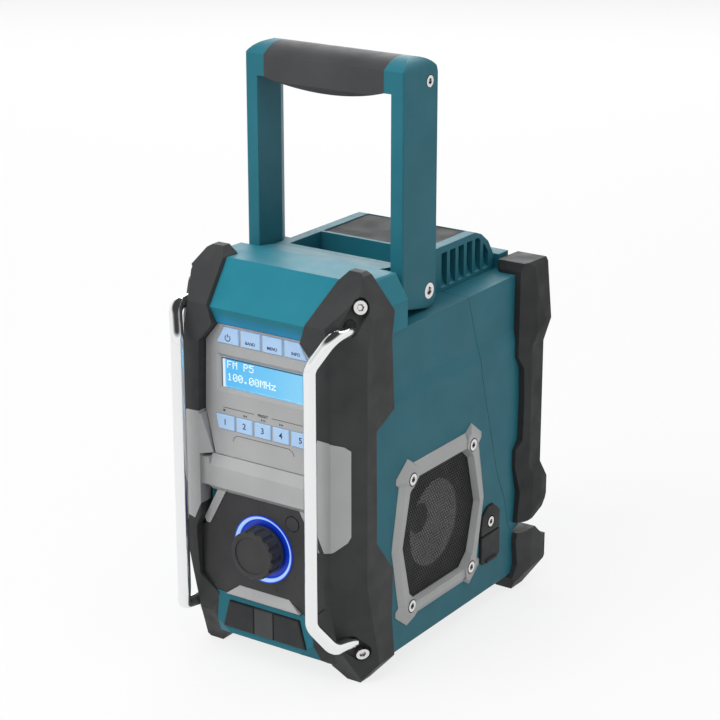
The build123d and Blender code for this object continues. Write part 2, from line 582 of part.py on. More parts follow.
def front_housing(form, bar, core):
    """Shoulders, sloped plate, front wall behind the panels, and the chin with the port recess."""
    outer = [(FRONT_SPLIT, BODY_BOTTOM), CHIN_BOTTOM, (CHIN_FACE, CHIN_LIP_HEIGHT), (CHIN_FACE, CHIN_TOP),
             (PANEL_BACK, CHIN_TOP), (PANEL_BACK, PLATE_UNDER[1]), PLATE_UNDER, PLATE_RIDGE, PLATE_TOP,
             (SHOULDER_REAR, SHOULDER_TOP), (SHOULDER_REAR, LEDGE + SEAM_GAP),
             (FRONT_SPLIT, LEDGE + SEAM_GAP)]
    side = BODY_HALF_WIDTH
    shoulders = symmetric([(side - 4, BODY_BOTTOM - 4), (side, BODY_BOTTOM + 2), (side, LEDGE + 19.5),
                           (side - 9.5, SHOULDER_TOP - 0.5), (side - 13.0, SHOULDER_TOP + 2.5)])
    # narrow between the bumpers, stepped back behind them
    neck = CHANNEL - 1.5
    plan = [(side, SHOULDER_REAR), (side, FRONT_SPLIT - 20.0), (BEVEL_START + 2.0, PANEL_FACE + 11.0),
            (neck, PANEL_FACE + 7.0), (neck, BUMPER_FACE)]
    housing = from_side(outer, -side, side)
    housing &= from_front(shoulders, BUMPER_FACE, SHOULDER_REAR)
    housing &= from_top(plan + [(-x, y) for x, y in reversed(plan)], 0, BUMPER_TOP)
    # the chin ends in front of the bumpers; its lower corners are cut at a slant
    beyond = [*chin_edge(), (CHANNEL - 19.0, CHIN_LIP_HEIGHT), (CHANNEL - 14.0, 0.0), (side, 0.0),
              (side, CHIN_HEIGHT - 2.2)]
    housing -= both_sides(from_front(beyond, BUMPER_FACE, PANEL_FACE + 4.5))
    housing = housing - both_sides(form) + (housing & both_sides(core))
    housing -= front_cavity() + both_sides(bar)
    # windows in the front wall: display and buttons, encoder, ports
    window = CHANNEL - 9.0
    housing -= block(-window, window, PANEL_BACK - 1, FRONT_WALL + 1, PRESET_FOOT - 6.6,
                     DISPLAY_TOP - 1.2)
    housing -= rod((0, PANEL_BACK - 1, KNOB_HEIGHT), (0, 1, 0), SHAFT_RADIUS + 2.0, WALL + 3)
    housing -= from_front(port_recess(), BUMPER_FACE, PORT_FLOOR)
    half_width = USB_SIZE[0] / 2 - USB_WALL + SOCKET_GAP
    half_height = USB_SIZE[1] / 2 - USB_WALL + SOCKET_GAP
    housing -= block(-PORT_X - half_width, -PORT_X + half_width, PORT_FLOOR - 1, CHIN_BACK + 1,
                     PORT_MIDDLE - half_height, PORT_MIDDLE + half_height)
    return housing - rod((PORT_X, PORT_FLOOR - 1, PORT_MIDDLE), (0, 1, 0), AUX_RADIUS + SOCKET_GAP,
                         WALL + 2)


# ---------------------------------------------------------------- main housing
def raised_box():
    """Raised box on the shelf, with the phone slot, the pad's seat, the vents and the pivot bosses."""
    profile = [(SHOULDER_REAR, LEDGE - WALL), (SHOULDER_REAR, BOX_TOP + 3.6),
               (SLOT_FRONT - 6, BOX_TOP + 0.6),
               (PAD_REAR, BOX_TOP), (BOX_REAR - 18.0, BOX_TOP - 3.0), (BOX_REAR - 8.5, BOX_TOP - 10.0),
               (BOX_REAR, BOX_TOP - 22.5), (BOX_REAR, LEDGE - WALL)]
    box = from_side(profile, -BOX_HALF_WIDTH, BOX_HALF_WIDTH)
    half = SLOT_HALF_WIDTH
    box -= block(-half - 4, half + 4, SHOULDER_REAR - 1, SLOT_FRONT - WALL, LEDGE - WALL - 1,
                 BOX_TOP - 2.6)
    box -= block(-half, half, SLOT_FRONT, SLOT_REAR, SLOT_FLOOR, BOX_TOP + 5)
    box -= block(-half, half, PAD_FRONT, PAD_REAR, BOX_TOP - PAD_SINK - PAD_THICKNESS, BOX_TOP + 5)
    roof = BOX_TOP - PAD_SINK - PAD_THICKNESS - WALL
    hollow = [(PAD_FRONT, LEDGE), (PAD_FRONT, roof), (BOX_REAR - 21.0, roof),
              (BOX_REAR - 10.0, BOX_TOP - 14.0),
              (BOX_REAR - 10.0, LEDGE)]
    box -= from_side(hollow, -half, half) + vents()
    # bosses that keep the handle's arms off the box
    box += both_sides(rod((BOX_HALF_WIDTH - 1, PIVOT_Y, PIVOT_Z), (1, 0, 0), BOSS_RADIUS,
                          BOSS_HEIGHT + 1))
    return box - both_sides(rod((BOX_HALF_WIDTH - PIVOT_ROOT, PIVOT_Y, PIVOT_Z), (1, 0, 0), PIVOT_RADIUS,
                                20))


def vents():
    """Cooling slots through the sides of the raised box; their feet run out in a slope."""
    outer, inner = BOX_HALF_WIDTH + 1, SLOT_HALF_WIDTH - 1
    section = [(outer, LEDGE + 2.0), (outer - 4.0, LEDGE + 5.0), (outer - 6.0, LEDGE + 11.5),
               (inner, LEDGE + 11.5),
               (inner, BOX_TOP), (outer, BOX_TOP)]
    slots = []
    for step in range(VENT_COUNT):
        front = PAD_FRONT + VENT_START + VENT_PITCH * step - VENT_WIDTH / 2
        slots.append(from_front(section, front, front + VENT_WIDTH))
    # their heads follow the slope at the rear of the box
    field = [(PAD_FRONT, LEDGE), (PAD_FRONT, BOX_TOP - 4.8), (BOX_REAR - 22.0, BOX_TOP - 4.8),
             (BOX_REAR - 12.5, BOX_TOP - 12.5), (BOX_REAR - 3.5, BOX_TOP - 24.0), (BOX_REAR - 3.5, LEDGE)]
    return both_sides((slots[0] + slots[1:]) & from_side(field, inner, outer))


def main_housing(form, foot):
    """Middle casing: side panels, raised box, slanted wall before the battery bay, hinge ears."""
    tail = [(DOOR_REAR - 7.0, 42.0), (DOOR_REAR + 4.0, 36.0), (DOOR_REAR + 4.0, 16.0),
            (DOOR_REAR - 2.0, BODY_BOTTOM)]
    side = [(FRONT_SPLIT, BODY_BOTTOM), (FRONT_SPLIT, LEDGE)] + SEAM + tail
    housing = from_side(side, -BODY_HALF_WIDTH, BODY_HALF_WIDTH)
    housing &= from_front(casing_outline(PANEL_STEP), FRONT_SPLIT, REAR_BUMPER_BACK)
    # chamber in front of the slanted wall
    slant = [(y - WALL * 1.2, z) for y, z in SEAM[1:-1]]
    chamber = [(FRONT_SPLIT - 1, BODY_BOTTOM + WALL), (FRONT_SPLIT - 1, LEDGE - WALL),
               (slant[0][0] - 10.0, LEDGE - WALL)]
    chamber += slant + [(SEAM_FOOT - 9.0, BODY_BOTTOM + WALL)]
    housing -= from_side(chamber, -INNER_SIDE, INNER_SIDE)
    housing += raised_box()
    # speaker openings, and the seats of grille and frame
    housing -= both_sides(rod((INNER_SIDE - 5, SPEAKER_Y, SPEAKER_Z), (1, 0, 0), BASKET_RADIUS - 3.5, 20))
    seat = from_side(frame_outline(0.0), FRAME_BACK, FRAME_FACE) + from_side(bar_outline(0.0),
                                                                             GRILLE_PLANE, FRAME_BACK)
    housing -= both_sides(seat)
    # room for the door's knuckles, and ears with the bores of the hinge pins
    room = REAR_BUMPER_INNER + 2.0
    housing -= rod((-room, DOOR_REAR, HINGE_Z), (1, 0, 0), KNUCKLE_RADIUS + 0.6, 2 * room)
    for place in EAR_PLACES:
        ear = block(place, place + EAR_WIDTH, DOOR_REAR - 7.0, DOOR_REAR + 3.4, 34.0, HINGE_Z)
        ear += rod((place, DOOR_REAR, HINGE_Z), (1, 0, 0), KNUCKLE_RADIUS - 0.6, EAR_WIDTH)
        ear -= rod((place - 1, DOOR_REAR, HINGE_Z), (1, 0, 0), HINGE_RADIUS, EAR_WIDTH + 2)
        housing += both_sides(ear)
    housing -= both_sides(form + foot)
    # power inlet, the seat of its cover, and the groove that the latch's nose enters
    housing -= rod((INNER_SIDE - 8, INLET_Y, INLET_Z), (1, 0, 0), INLET_SIDE / 2 - 1.5, 20)
    housing -= block(INLET_FACE - INLET_LENGTH - 1.5, INLET_FACE, INLET_Y - INLET_SIDE / 2,
                     INLET_Y + INLET_SIDE / 2,
                     INLET_Z - INLET_SIDE / 2, INLET_Z + INLET_SIDE / 2)
    housing -= from_side(cover_outline(COVER_GAP), COVER_BACK, BODY_HALF_WIDTH + 5)
    housing -= rod((INNER_SIDE - 8, INLET_Y, COVER_HIGH - COVER_SCREW_DROP), (1, 0, 0),
                   SCREW_SHANK_RADIUS, 20)
    nose, nose_z = LATCH_HALF_WIDTH - 4.0, LATCH_PIN_Z + 11.0
    return housing - block(-nose, nose, BOX_REAR - 2.4, BOX_REAR + 1, nose_z - 1.6, nose_z + 1.6)


# ---------------------------------------------------------------- battery door
def battery_door(bumper):
    """Rear shell with its side wings, knuckles and the seat of the latch."""
    outer = [(y + SEAM_GAP, z) for y, z in SEAM]
    outer += [(DOOR_REAR - 11.0, 50.0), (DOOR_REAR - 7.0, 57.0), (DOOR_REAR, 66.0), (DOOR_REAR, DOOR_TOP),
              (BOX_REAR + 1.0, DOOR_TOP), (BOX_REAR + 1.0, LEDGE)]
    door = from_side(outer, -BODY_HALF_WIDTH, BODY_HALF_WIDTH)
    door &= from_front(casing_outline(PANEL_STEP), FRONT_SPLIT, REAR_BUMPER_BACK)
    door -= both_sides(block(REAR_BUMPER_INNER - 2, BODY_HALF_WIDTH + 1, BOX_REAR - 2, DOOR_REAR + 1,
                             LEDGE, DOOR_TOP + 1))
    door -= both_sides(bumper)
    # hollow between the side wings, and the bay behind it
    door -= block(-INNER_SIDE, INNER_SIDE, SEAM[0][0] - 10, DOOR_REAR - 25.0, 40.0, LEDGE - WALL)
    bay = [(DOOR_REAR - 26.0, 40.0), (DOOR_REAR - 26.0, LEDGE - WALL), (DOOR_REAR - WALL, LEDGE - WALL),
           (DOOR_REAR - WALL, 67.5), (DOOR_REAR - 9.5, 58.5), (DOOR_REAR - 13.0, 53.0),
           (DOOR_REAR - 19.0, 53.0),
           (DOOR_REAR - 21.0, 40.0)]
    inner_rear = REAR_BUMPER_INNER - WALL
    door -= from_side(bay, -inner_rear, inner_rear)
    # the raised box is the roof of the bay
    roof = BOX_HALF_WIDTH + SEAM_GAP
    door -= block(-roof, roof, SEAM[0][0] - 10, BOX_REAR + SEAM_GAP, LEDGE - WALL - SEAM_GAP,
                  BOX_TOP + 20)
    for place in EAR_PLACES:
        door -= both_sides(rod((place - 0.6, DOOR_REAR, HINGE_Z), (1, 0, 0), KNUCKLE_RADIUS + 0.4,
                               EAR_WIDTH + 1.2))
    for place in EAR_PLACES:
        door += both_sides(door_knuckle(place - SEAM_GAP - KNUCKLE_WIDTH))
        bore = rod((place - KNUCKLE_WIDTH - 2, DOOR_REAR, HINGE_Z), (1, 0, 0),
                   HINGE_RADIUS + RUNNING_CLEARANCE,
                   KNUCKLE_WIDTH + 2)
        door -= both_sides(bore)
    # seat of the latch in the top edge, with a cheek for each end of its pin
    half = LATCH_HALF_WIDTH + SEAM_GAP
    door -= block(-half, half, BOX_REAR - 1, DOOR_REAR + 1, LATCH_PIN_Z - 12.0, DOOR_TOP + 10)
    door += both_sides(block(half, half + LATCH_CHEEK, LATCH_PIN_Y - 4, DOOR_REAR - 1, LATCH_PIN_Z - 5,
                             LATCH_PIN_Z + 5))
    return door - latch_pin()


def door_knuckle(x_low):
    """Arm from the door's foot to the hinge pin, with a round eye."""
    arm = [(DOOR_REAR - 5.0, HINGE_Z), (DOOR_REAR - 5.0, HINGE_Z + 12.0),
           (DOOR_REAR - 0.5, HINGE_Z + 17.0),
           (DOOR_REAR, HINGE_Z + 17.0), (DOOR_REAR + 4.0, HINGE_Z)]
    knuckle = from_side(arm, x_low, x_low + KNUCKLE_WIDTH)
    return knuckle + rod((x_low, DOOR_REAR, HINGE_Z), (1, 0, 0), KNUCKLE_RADIUS, KNUCKLE_WIDTH)


def door_hinge_pins():
    """Two steel pins that the door swings on."""
    start = INNER_EAR - KNUCKLE_WIDTH - 1.0
    end = OUTER_EAR + EAR_WIDTH + 2.0
    return both_sides(rod((start, DOOR_REAR, HINGE_Z), (1, 0, 0), HINGE_RADIUS, end - start))


def door_latch():
    """Lever on the door's top edge; its nose enters a groove in the raised box."""
    y_pin, z_pin, half = LATCH_PIN_Y, LATCH_PIN_Z, LATCH_HALF_WIDTH
    outline = [(y_pin - 2.6, z_pin - 3.0), (y_pin + 2.4, z_pin - 3.4), (y_pin + 3.4, z_pin - 9.0),
               (DOOR_REAR - 0.5, z_pin - 9.0), (DOOR_REAR + 1.6, z_pin - 5.0),
               (DOOR_REAR + 1.6, DOOR_TOP - 4.0),
               (DOOR_REAR - 2.0, DOOR_TOP + 1.6), (BOX_REAR + 4.0, DOOR_TOP + 2.2),
               (BOX_REAR + 1.0, DOOR_TOP),
               (BOX_REAR + 1.0, z_pin + 12.2), (BOX_REAR - 1.4, z_pin + 11.8),
               (BOX_REAR - 1.4, z_pin + 10.6),
               (BOX_REAR + 1.0, z_pin + 9.8), (BOX_REAR + 3.0, z_pin + 4.0), (y_pin - 3.4, z_pin + 3.0)]
    lever = from_side(outline, -half, half)
    lever -= both_sides(block(half - 4.6, half + 1, BOX_REAR - 6, BOX_REAR + 1.0, z_pin, DOOR_TOP + 10))
    lever -= rod((-half - 1, y_pin, z_pin), (1, 0, 0), LATCH_PIN_RADIUS + RUNNING_CLEARANCE, 2 * half + 2)
    return lever - block(half - 9.6, half - 2.4, y_pin - 6, y_pin + 3, z_pin - 6, z_pin + 3)


def latch_pin():
    end = LATCH_HALF_WIDTH + SEAM_GAP + LATCH_CHEEK
    return rod((-end, LATCH_PIN_Y, LATCH_PIN_Z), (1, 0, 0), LATCH_PIN_RADIUS, 2 * end)


def latch_spring():
    """Leg spring on the pin, drawn as the sleeve that its coils fill."""
    start = (LATCH_HALF_WIDTH - 9.0, LATCH_PIN_Y, LATCH_PIN_Z)
    return rod(start, (1, 0, 0), 2.4, 6.0) - rod(start, (1, 0, 0), LATCH_PIN_RADIUS, 6.0)


def rear_corner_plan(front):
    """Plan of the rear bumper and the rear foot on the right corner, from a front edge to the rear."""
    inner, outer = REAR_BUMPER_INNER, REAR_BUMPER_OUTER
    return [(inner, front + 5.0), (inner + 4.3, front), (BODY_HALF_WIDTH + 2.8, front),
            (outer - 1.4, DOOR_REAR - 4.0),
            (outer, DOOR_REAR + 7.0), (outer, REAR_BUMPER_BACK), (inner + 6.3, REAR_BUMPER_BACK + 1),
            (inner, REAR_BUMPER_BACK - 3.0)]


def rear_bumper():
    """Right upper rear bumper, faceted, on the door's corner."""
    back, top, outer, rear = REAR_BUMPER_BACK, REAR_BUMPER_TOP, REAR_BUMPER_OUTER, DOOR_REAR
    profile = [(rear - 18.0, top), (rear - 21.0, top - 6.0), (rear - 21.5, 186.0), (rear - 15.5, 176.0),
               (rear - 14.6, 151.0), (rear - 15.3, 120.0), (rear - 22.8, 113.0), (rear - 22.3, 100.7),
               (rear - 16.7, 79.3), (rear - 18.9, 55.0), (rear - 4.0, 53.0), (back - 4.0, 60.0),
               (back, 70.0),
               (back, 84.0), (back - 6.0, 97.0), (back - 6.0, 192.0), (back, 208.7),
               (back - 3.0, top - 1)]
    front = [(REAR_BUMPER_INNER, top), (REAR_BUMPER_INNER, 52.0), (outer - 2.4, 54.0), (outer, 66.0),
             (outer, 84.0),
             (outer - 2.6, 97.0), (outer - 2.6, 192.0), (outer, 208.7), (outer - 2.4, top - 4),
             (outer - 4.4, top)]
    bumper = from_side(profile, REAR_BUMPER_INNER, outer) & from_front(front, rear - 30, back + 6)
    return bumper & from_top(rear_corner_plan(rear - 22.0), 40, top + 4)


def rear_foot():
    """Right rear foot under the door's bumper."""
    back, outer, rear = REAR_BUMPER_BACK, REAR_BUMPER_OUTER, DOOR_REAR
    profile = [(rear - 23.0, 11.0), (rear - 18.0, 0.0), (rear - 2.0, 0.0), (back, 19.0), (back, 37.2),
               (back - 5.5, 38.8), (back - 10.5, 45.5), (rear - 18.6, 46.5), (rear - 20.0, 40.0),
               (rear - 18.0, 21.0)]
    front = [(REAR_BUMPER_INNER + 4.3, 0.0), (outer - 9.8, 0.0), (outer, 17.0), (outer, 39.0),
             (outer - 3.4, 47.0),
             (REAR_BUMPER_INNER, 47.0), (REAR_BUMPER_INNER, 10.0)]
    foot = from_side(profile, REAR_BUMPER_INNER, outer) & from_front(front, rear - 30, back + 6)
    return foot & from_top(rear_corner_plan(rear - 24.0), -1, 60)


def battery_terminal():
    """Rail of the battery on the slanted wall: base, two lipped guides and the contact block."""
    low, high = SEAM[2], SEAM[3]
    slope = degrees(atan2(high[0] - low[0], low[1] - high[1]))
    wall_plane = Plane(origin=(0, (low[0] + high[0]) / 2, (low[1] + high[1]) / 2), x_dir=(1, 0, 0),
                       z_dir=(0, cos(radians(slope)), sin(radians(slope))))
    rail = Pos(0, 0, RAIL_BASE / 2) * Box(RAIL_WIDTH, RAIL_LENGTH, RAIL_BASE)
    guide_length = RAIL_LENGTH - 6.0
    guide_x = RAIL_WIDTH / 2 - RAIL_WALL
    for x_side in (-1, 1):
        guide_middle = Pos(x_side * (guide_x + RAIL_WALL / 2), 0, RAIL_BASE + RAIL_GROOVE / 2)
        rail += guide_middle * Box(RAIL_WALL, guide_length, RAIL_GROOVE)
        lip_middle = Pos(x_side * guide_x, 0, RAIL_BASE + RAIL_GROOVE + RAIL_LIP / 2)
        rail += lip_middle * Box(2 * RAIL_WALL, guide_length, RAIL_LIP)
    width, length, height = TERMINAL_SIZE
    place = RAIL_LENGTH / 2 - length / 2 - 4.0
    rail += Pos(0, place, RAIL_BASE + height / 2) * Box(width, length, height)
    for x_blade in (-0.33, -0.12, 0.12, 0.33):
        rail -= Pos(x_blade * width, place, RAIL_BASE + height - 1.5) * Box(1.6, length + 4, 5)
    return wall_plane * rail


# ---------------------------------------------------------------- handle
def handle_arm():
    """Right arm with its eye round the pivot and the corner that turns in to the grip."""
    inner, outer, front, rear = HANDLE_INNER, HANDLE_OUTER, HANDLE_FRONT, HANDLE_REAR
    outer_side = [(outer - 1.0, front), (outer, front + 1.0), (outer, rear - 1.0), (outer - 1.0, rear)]
    eye_top = PIVOT_Z + BOSS_RADIUS + 7.0
    arm = from_top([(inner + 1.0, rear), (inner, rear - 1.0), (inner, front), *outer_side], LEDGE,
                   eye_top)
    arm += from_top([(inner, rear - ARM_SLANT), (inner, front), *outer_side], eye_top, HANDLE_TOP)
    arm += from_top([(GRIP_END, rear), (GRIP_END, front), *outer_side], HANDLE_TOP - GRIP_END_DEPTH,
                    HANDLE_TOP)
    face = make_face(Polyline((0, LEDGE), (outer, LEDGE), (outer, HANDLE_TOP), (0, HANDLE_TOP),
                              close=True))
    corner = face.vertices().sort_by(Axis((0, 0, 0), (1, 1, 0)))[-1]
    arm &= extrude(Plane.XZ.offset(-rear) * fillet(corner, HANDLE_CORNER_RADIUS), rear - front)
    foot = [(front, PIVOT_Z - 5.5), (PIVOT_Y - 4.0, PIVOT_Z - 11.1), (PIVOT_Y + 2.0, PIVOT_Z - 11.1),
            (PIVOT_Y + 6.2, PIVOT_Z - 8.9), (rear, PIVOT_Z - 4.5)]
    arm &= handle_prism(foot, GRIP_END, outer)
    arm -= rod((inner - 1, PIVOT_Y, PIVOT_Z), (1, 0, 0), PIVOT_RADIUS + RUNNING_CLEARANCE, 20)
    arm -= rod((PIVOT_SEAT, PIVOT_Y, PIVOT_Z), (1, 0, 0), PIVOT_HEAD_RADIUS + SEAM_GAP, 10)
    arm -= rod(handle_screw_seat(), (1, 0, 0), HANDLE_SCREW_RADIUS + SEAM_GAP, 10)
    arm -= rod(handle_screw_seat(), (-1, 0, 0), SCREW_SHANK_RADIUS, 20)
    return arm - wire_aerial()


def handle_prism(foot, x_low, x_high):
    """Handle between two x: an outline at its foot, upright flanks and a crowned top."""
    front, rear, shoulder = HANDLE_FRONT, HANDLE_REAR, HANDLE_SHOULDER
    flanks = Polyline((front, shoulder), *foot, (rear, shoulder - 8.0), (rear - 2.5, shoulder - 1.0))
    crown = ThreePointArc((rear - 2.5, shoulder - 1.0), (CREST_Y, HANDLE_TOP), (front, shoulder))
    return extrude(Plane.YZ.offset(x_low) * make_face([flanks, crown]), x_high - x_low)


def handle_grip():
    """Soft grip between the arms: crowned top, bowed underside, chamfered lower edges."""
    end_z, middle_z = HANDLE_TOP - GRIP_END_DEPTH, HANDLE_TOP - GRIP_MIDDLE_DEPTH
    bow = ThreePointArc((GRIP_END, end_z), (0, middle_z), (-GRIP_END, end_z))
    rest = Polyline((-GRIP_END, end_z), (-GRIP_END, HANDLE_TOP), (GRIP_END, HANDLE_TOP),
                    (GRIP_END, end_z))
    grip = extrude(Plane.XZ.offset(-HANDLE_REAR) * make_face([bow, rest]), HANDLE_WIDTH)
    edge = end_z - 2.5
    foot = [(HANDLE_FRONT, edge), (HANDLE_FRONT + 5.0, middle_z - 3.0),
            (HANDLE_REAR - 5.0, middle_z - 3.0),
            (HANDLE_REAR, edge)]
    grip &= handle_prism(foot, -GRIP_END, GRIP_END)
    return grip - handle_screws() - wire_aerial()


def handle_screw_seat():
    return Vector(HANDLE_OUTER - 2.0, PIVOT_Y - 2.0, HANDLE_TOP - HANDLE_SCREW_DROP)


def handle_screws():
    """Screws through the arms into the grip."""
    return both_sides(screw(handle_screw_seat(), Vector(1, 0, 0), HANDLE_SCREW_RADIUS, 2.2,
                            SCREW_SHANK_RADIUS, 26.0))


def wire_aerial():
    """Wire aerial laid through the grip, held by the arms at both ends."""
    end = GRIP_END + 5.0
    return rod((-end, CREST_Y - 2.4, HANDLE_TOP - AERIAL_DROP), (1, 0, 0), AERIAL_RADIUS, 2 * end)


def handle_pivots():
    """Shoulder screws that the handle turns on."""
    start = BOX_HALF_WIDTH - PIVOT_ROOT
    pivot = rod((start, PIVOT_Y, PIVOT_Z), (1, 0, 0), PIVOT_RADIUS, PIVOT_SEAT - start)
    head = screw(Vector(PIVOT_SEAT, PIVOT_Y, PIVOT_Z), Vector(1, 0, 0), PIVOT_HEAD_RADIUS, 2.4, 2.0, 1.0)
    return both_sides(pivot + head)


# ---------------------------------------------------------------- top pad
def top_pad():
    """Dark rubber sheet laid in the raised box, behind the slot."""
    half = SLOT_HALF_WIDTH - FIT_GAP
    top = BOX_TOP - PAD_SINK
    return block(-half, half, PAD_FRONT + FIT_GAP, PAD_REAR - FIT_GAP, top - PAD_THICKNESS, top)


# ---------------------------------------------------------------- display, buttons and board
def function_cells():
    """Left and right edge of the four upper buttons' cells."""
    end = CHANNEL - ROW_MARGIN
    edges = [-end, -FUNCTION_PITCH, 0.0, FUNCTION_PITCH, end]
    return list(zip(edges[:-1], edges[1:]))


def preset_cells():
    """Left and right edge of the numbered buttons' cells."""
    end = CHANNEL - PRESET_MARGIN
    pitch = 2 * end / PRESET_COUNT
    return [(pitch * step - end, pitch * (step + 1) - end) for step in range(PRESET_COUNT)]


def all_buttons():
    """Name, cell, row and corner slant of each button."""
    names = ("power_button", "mode_button", "menu_button", "info_button")
    buttons = [(name, cell, FUNCTION_ROW, FUNCTION_CORNER) for name, cell in zip(names, function_cells())]
    for number, cell in enumerate(preset_cells(), start=1):
        buttons.append((f"preset_button_{number}", cell, PRESET_ROW, PRESET_CORNER))
    return buttons


def button_outline(cell, row, slant, grow=0.0):
    """Outline of one button; the outer side of an end button is slanted."""
    inset = BUTTON_WEB / 2 + BUTTON_CLEARANCE - grow
    left, right = cell[0] + inset, cell[1] - inset
    low, high = row[0] - grow, row[1] + grow
    end = CHANNEL - max(ROW_MARGIN, PRESET_MARGIN) - 1.0
    left_top = left + slant if cell[0] < -end else left
    right_top = right - slant if cell[1] > end else right
    return [(left, low), (right, low), (right_top, high), (left_top, high)]


def button(cell, row, slant):
    """Button cap with a stem that reaches the switch behind it."""
    cap_back = PANEL_BACK + SEAM_GAP
    cap = from_front(button_outline(cell, row, slant), PANEL_FACE - BUTTON_PROUD, cap_back)
    cap = bevelled(cap, Axis.Y, False, BUTTON_EDGE)
    x_middle, z_middle, half = sum(cell) / 2, sum(row) / 2, BUTTON_STEM / 2
    return cap + block(x_middle - half, x_middle + half, cap_back, STEM_END, z_middle - half,
                       z_middle + half)


def display_panel():
    """Silver plate with the stepped display window and the button openings."""
    outline = symmetric([(CHANNEL - 8.2, DISPLAY_FOOT), (CHANNEL - 0.6, DISPLAY_FOOT + 32.6),
                         (CHANNEL - 2.1, DISPLAY_TOP - 12.8), (CHANNEL - 12.8, DISPLAY_TOP)])
    panel = from_front(outline, PANEL_FACE, PANEL_BACK)
    half, rim = WINDOW_HALF_WIDTH, WINDOW_RIM
    window = symmetric([(half, WINDOW_LOW), (half, WINDOW_HIGH)])
    edge = symmetric([(half + rim, WINDOW_LOW - rim), (half + rim, WINDOW_HIGH + rim)])
    front_face = Plane.XZ.offset(-PANEL_FACE) * make_face(Polyline(*edge, close=True))
    step_face = Plane.XZ.offset(-PANEL_FACE - WINDOW_STEP) * make_face(Polyline(*window, close=True))
    panel -= loft([front_face, step_face]) + from_front(window, PANEL_FACE + WINDOW_STEP - 0.1,
                                                        PANEL_BACK)
    for name, cell, row, slant in all_buttons():
        panel -= from_front(button_outline(cell, row, slant, BUTTON_CLEARANCE), PANEL_FACE, PANEL_BACK)
    return panel


def lcd_window():
    """Clear cover set in the window, on the display's glass."""
    half = WINDOW_HALF_WIDTH - FIT_GAP
    return block(-half, half, PANEL_FACE + WINDOW_STEP, GLASS_FRONT, WINDOW_LOW + FIT_GAP,
                 WINDOW_HIGH - FIT_GAP)


def lcd_module():
    """Display glass, with the backlight block behind it that reaches the board."""
    half = WINDOW_HALF_WIDTH
    light = block(-half - 2, half + 2, PANEL_BACK, BOARD_FRONT, WINDOW_LOW - 2, WINDOW_HIGH + 2)
    return light + block(1 - half, half - 1, GLASS_FRONT, PANEL_BACK, WINDOW_LOW + 1, WINDOW_HIGH - 1)


def circuit_board():
    """Main board behind the front wall, with its two connectors."""
    back = BOARD_FRONT + BOARD_THICKNESS
    wide, narrow = CHANNEL - 7.0, CHANNEL - 15.0
    step = DISPLAY_TOP - 13.6
    foot = KNOB_HEIGHT + ENCODER_SIDE / 2 + 11.0
    board = block(-wide, wide, BOARD_FRONT, back, foot, step)
    board += block(-narrow, narrow, BOARD_FRONT, back, step, DISPLAY_TOP - 2.6)
    board += block(-30, 12, back, back + 7.4, foot + 6, foot + 12)
    return board + block(16, 34, back, back + 4.4, foot + 20, foot + 38)


def tact_switches():
    """One switch on the board behind each button."""
    half = SWITCH_SIDE / 2
    group = []
    for name, cell, row, slant in all_buttons():
        x_middle, z_middle = sum(cell) / 2, sum(row) / 2
        group.append(block(x_middle - half, x_middle + half, SWITCH_FACE, BOARD_FRONT, z_middle - half,
                           z_middle + half))
    return group[0] + group[1:]


# ---------------------------------------------------------------- silver frame, knob panel and knob
def silver_frame(form):
    """Silver band across the front, with a wing on each bumper and a strip beside the knob panel."""
    middle_top, middle_foot = BAND_TOP - BAND_SLOPE_HEIGHT, BAND_FOOT + BAND_LOWER_SLOPE
    profile = [(PANEL_BACK, BAND_TOP), (PANEL_FACE - 0.2, BAND_TOP), (BAND_FACE, middle_top),
               (BAND_FACE, middle_foot),
               (KNOB_PANEL_FACE - 0.6, BAND_FOOT), (PANEL_BACK, BAND_FOOT)]
    band = from_side(profile, -CHANNEL, CHANNEL)
    ends = symmetric([(CHANNEL - 6.6, BAND_FOOT - 1), (CHANNEL - 6.2, middle_foot),
                      (CHANNEL - 5.6, BAND_TOP + 1)])
    band &= from_front(ends, BAND_FACE, PANEL_BACK)
    skin = form & wing_region()
    link = from_front([(CHANNEL - 9.0, middle_foot), (CHANNEL + 1.0, middle_foot),
                       (CHANNEL + 1.0, BAND_TOP - 2.0),
                       (CHANNEL - 6.0, BAND_TOP - 2.0)], BAND_FACE, PANEL_FACE + 2.0)
    strip = from_front([(CHANNEL - 1.0, KNOB_PANEL_TOP - 26.0), (CHANNEL - 3.8, KNOB_PANEL_TOP - 26.0),
                        (CHANNEL - 18.0, BAND_FOOT), (CHANNEL - 11.0, BAND_FOOT),
                        (CHANNEL + 1.0, KNOB_PANEL_TOP - 22.7)], KNOB_PANEL_FACE - 0.8, PANEL_BACK)
    # facet that closes the slanted gap beside the display panel, down to a groove
    facet = from_front([(CHANNEL + 0.1, DISPLAY_FOOT + 29.0), (CHANNEL - 1.0, DISPLAY_FOOT + 29.0),
                        (CHANNEL - 6.8, DISPLAY_FOOT), (CHANNEL + 0.1, DISPLAY_FOOT)], BUMPER_FACE,
                        PANEL_BACK)
    facet = trim(facet, (CHANNEL, BUMPER_FACE, DISPLAY_TOP), (CHANNEL, BUMPER_FACE, DISPLAY_FOOT),
                 (CHANNEL - 6.8, PANEL_FACE - 0.5, DISPLAY_FOOT), (CHANNEL, PANEL_BACK, DISPLAY_FOOT))
    return band + both_sides(skin + (link - form) + (strip - form) + facet)


def lower_trim_outline():
    return symmetric([(CHANNEL - 17.5, CHIN_HEIGHT), (CHANNEL - 28.0, CHIN_HEIGHT + 7.7)])


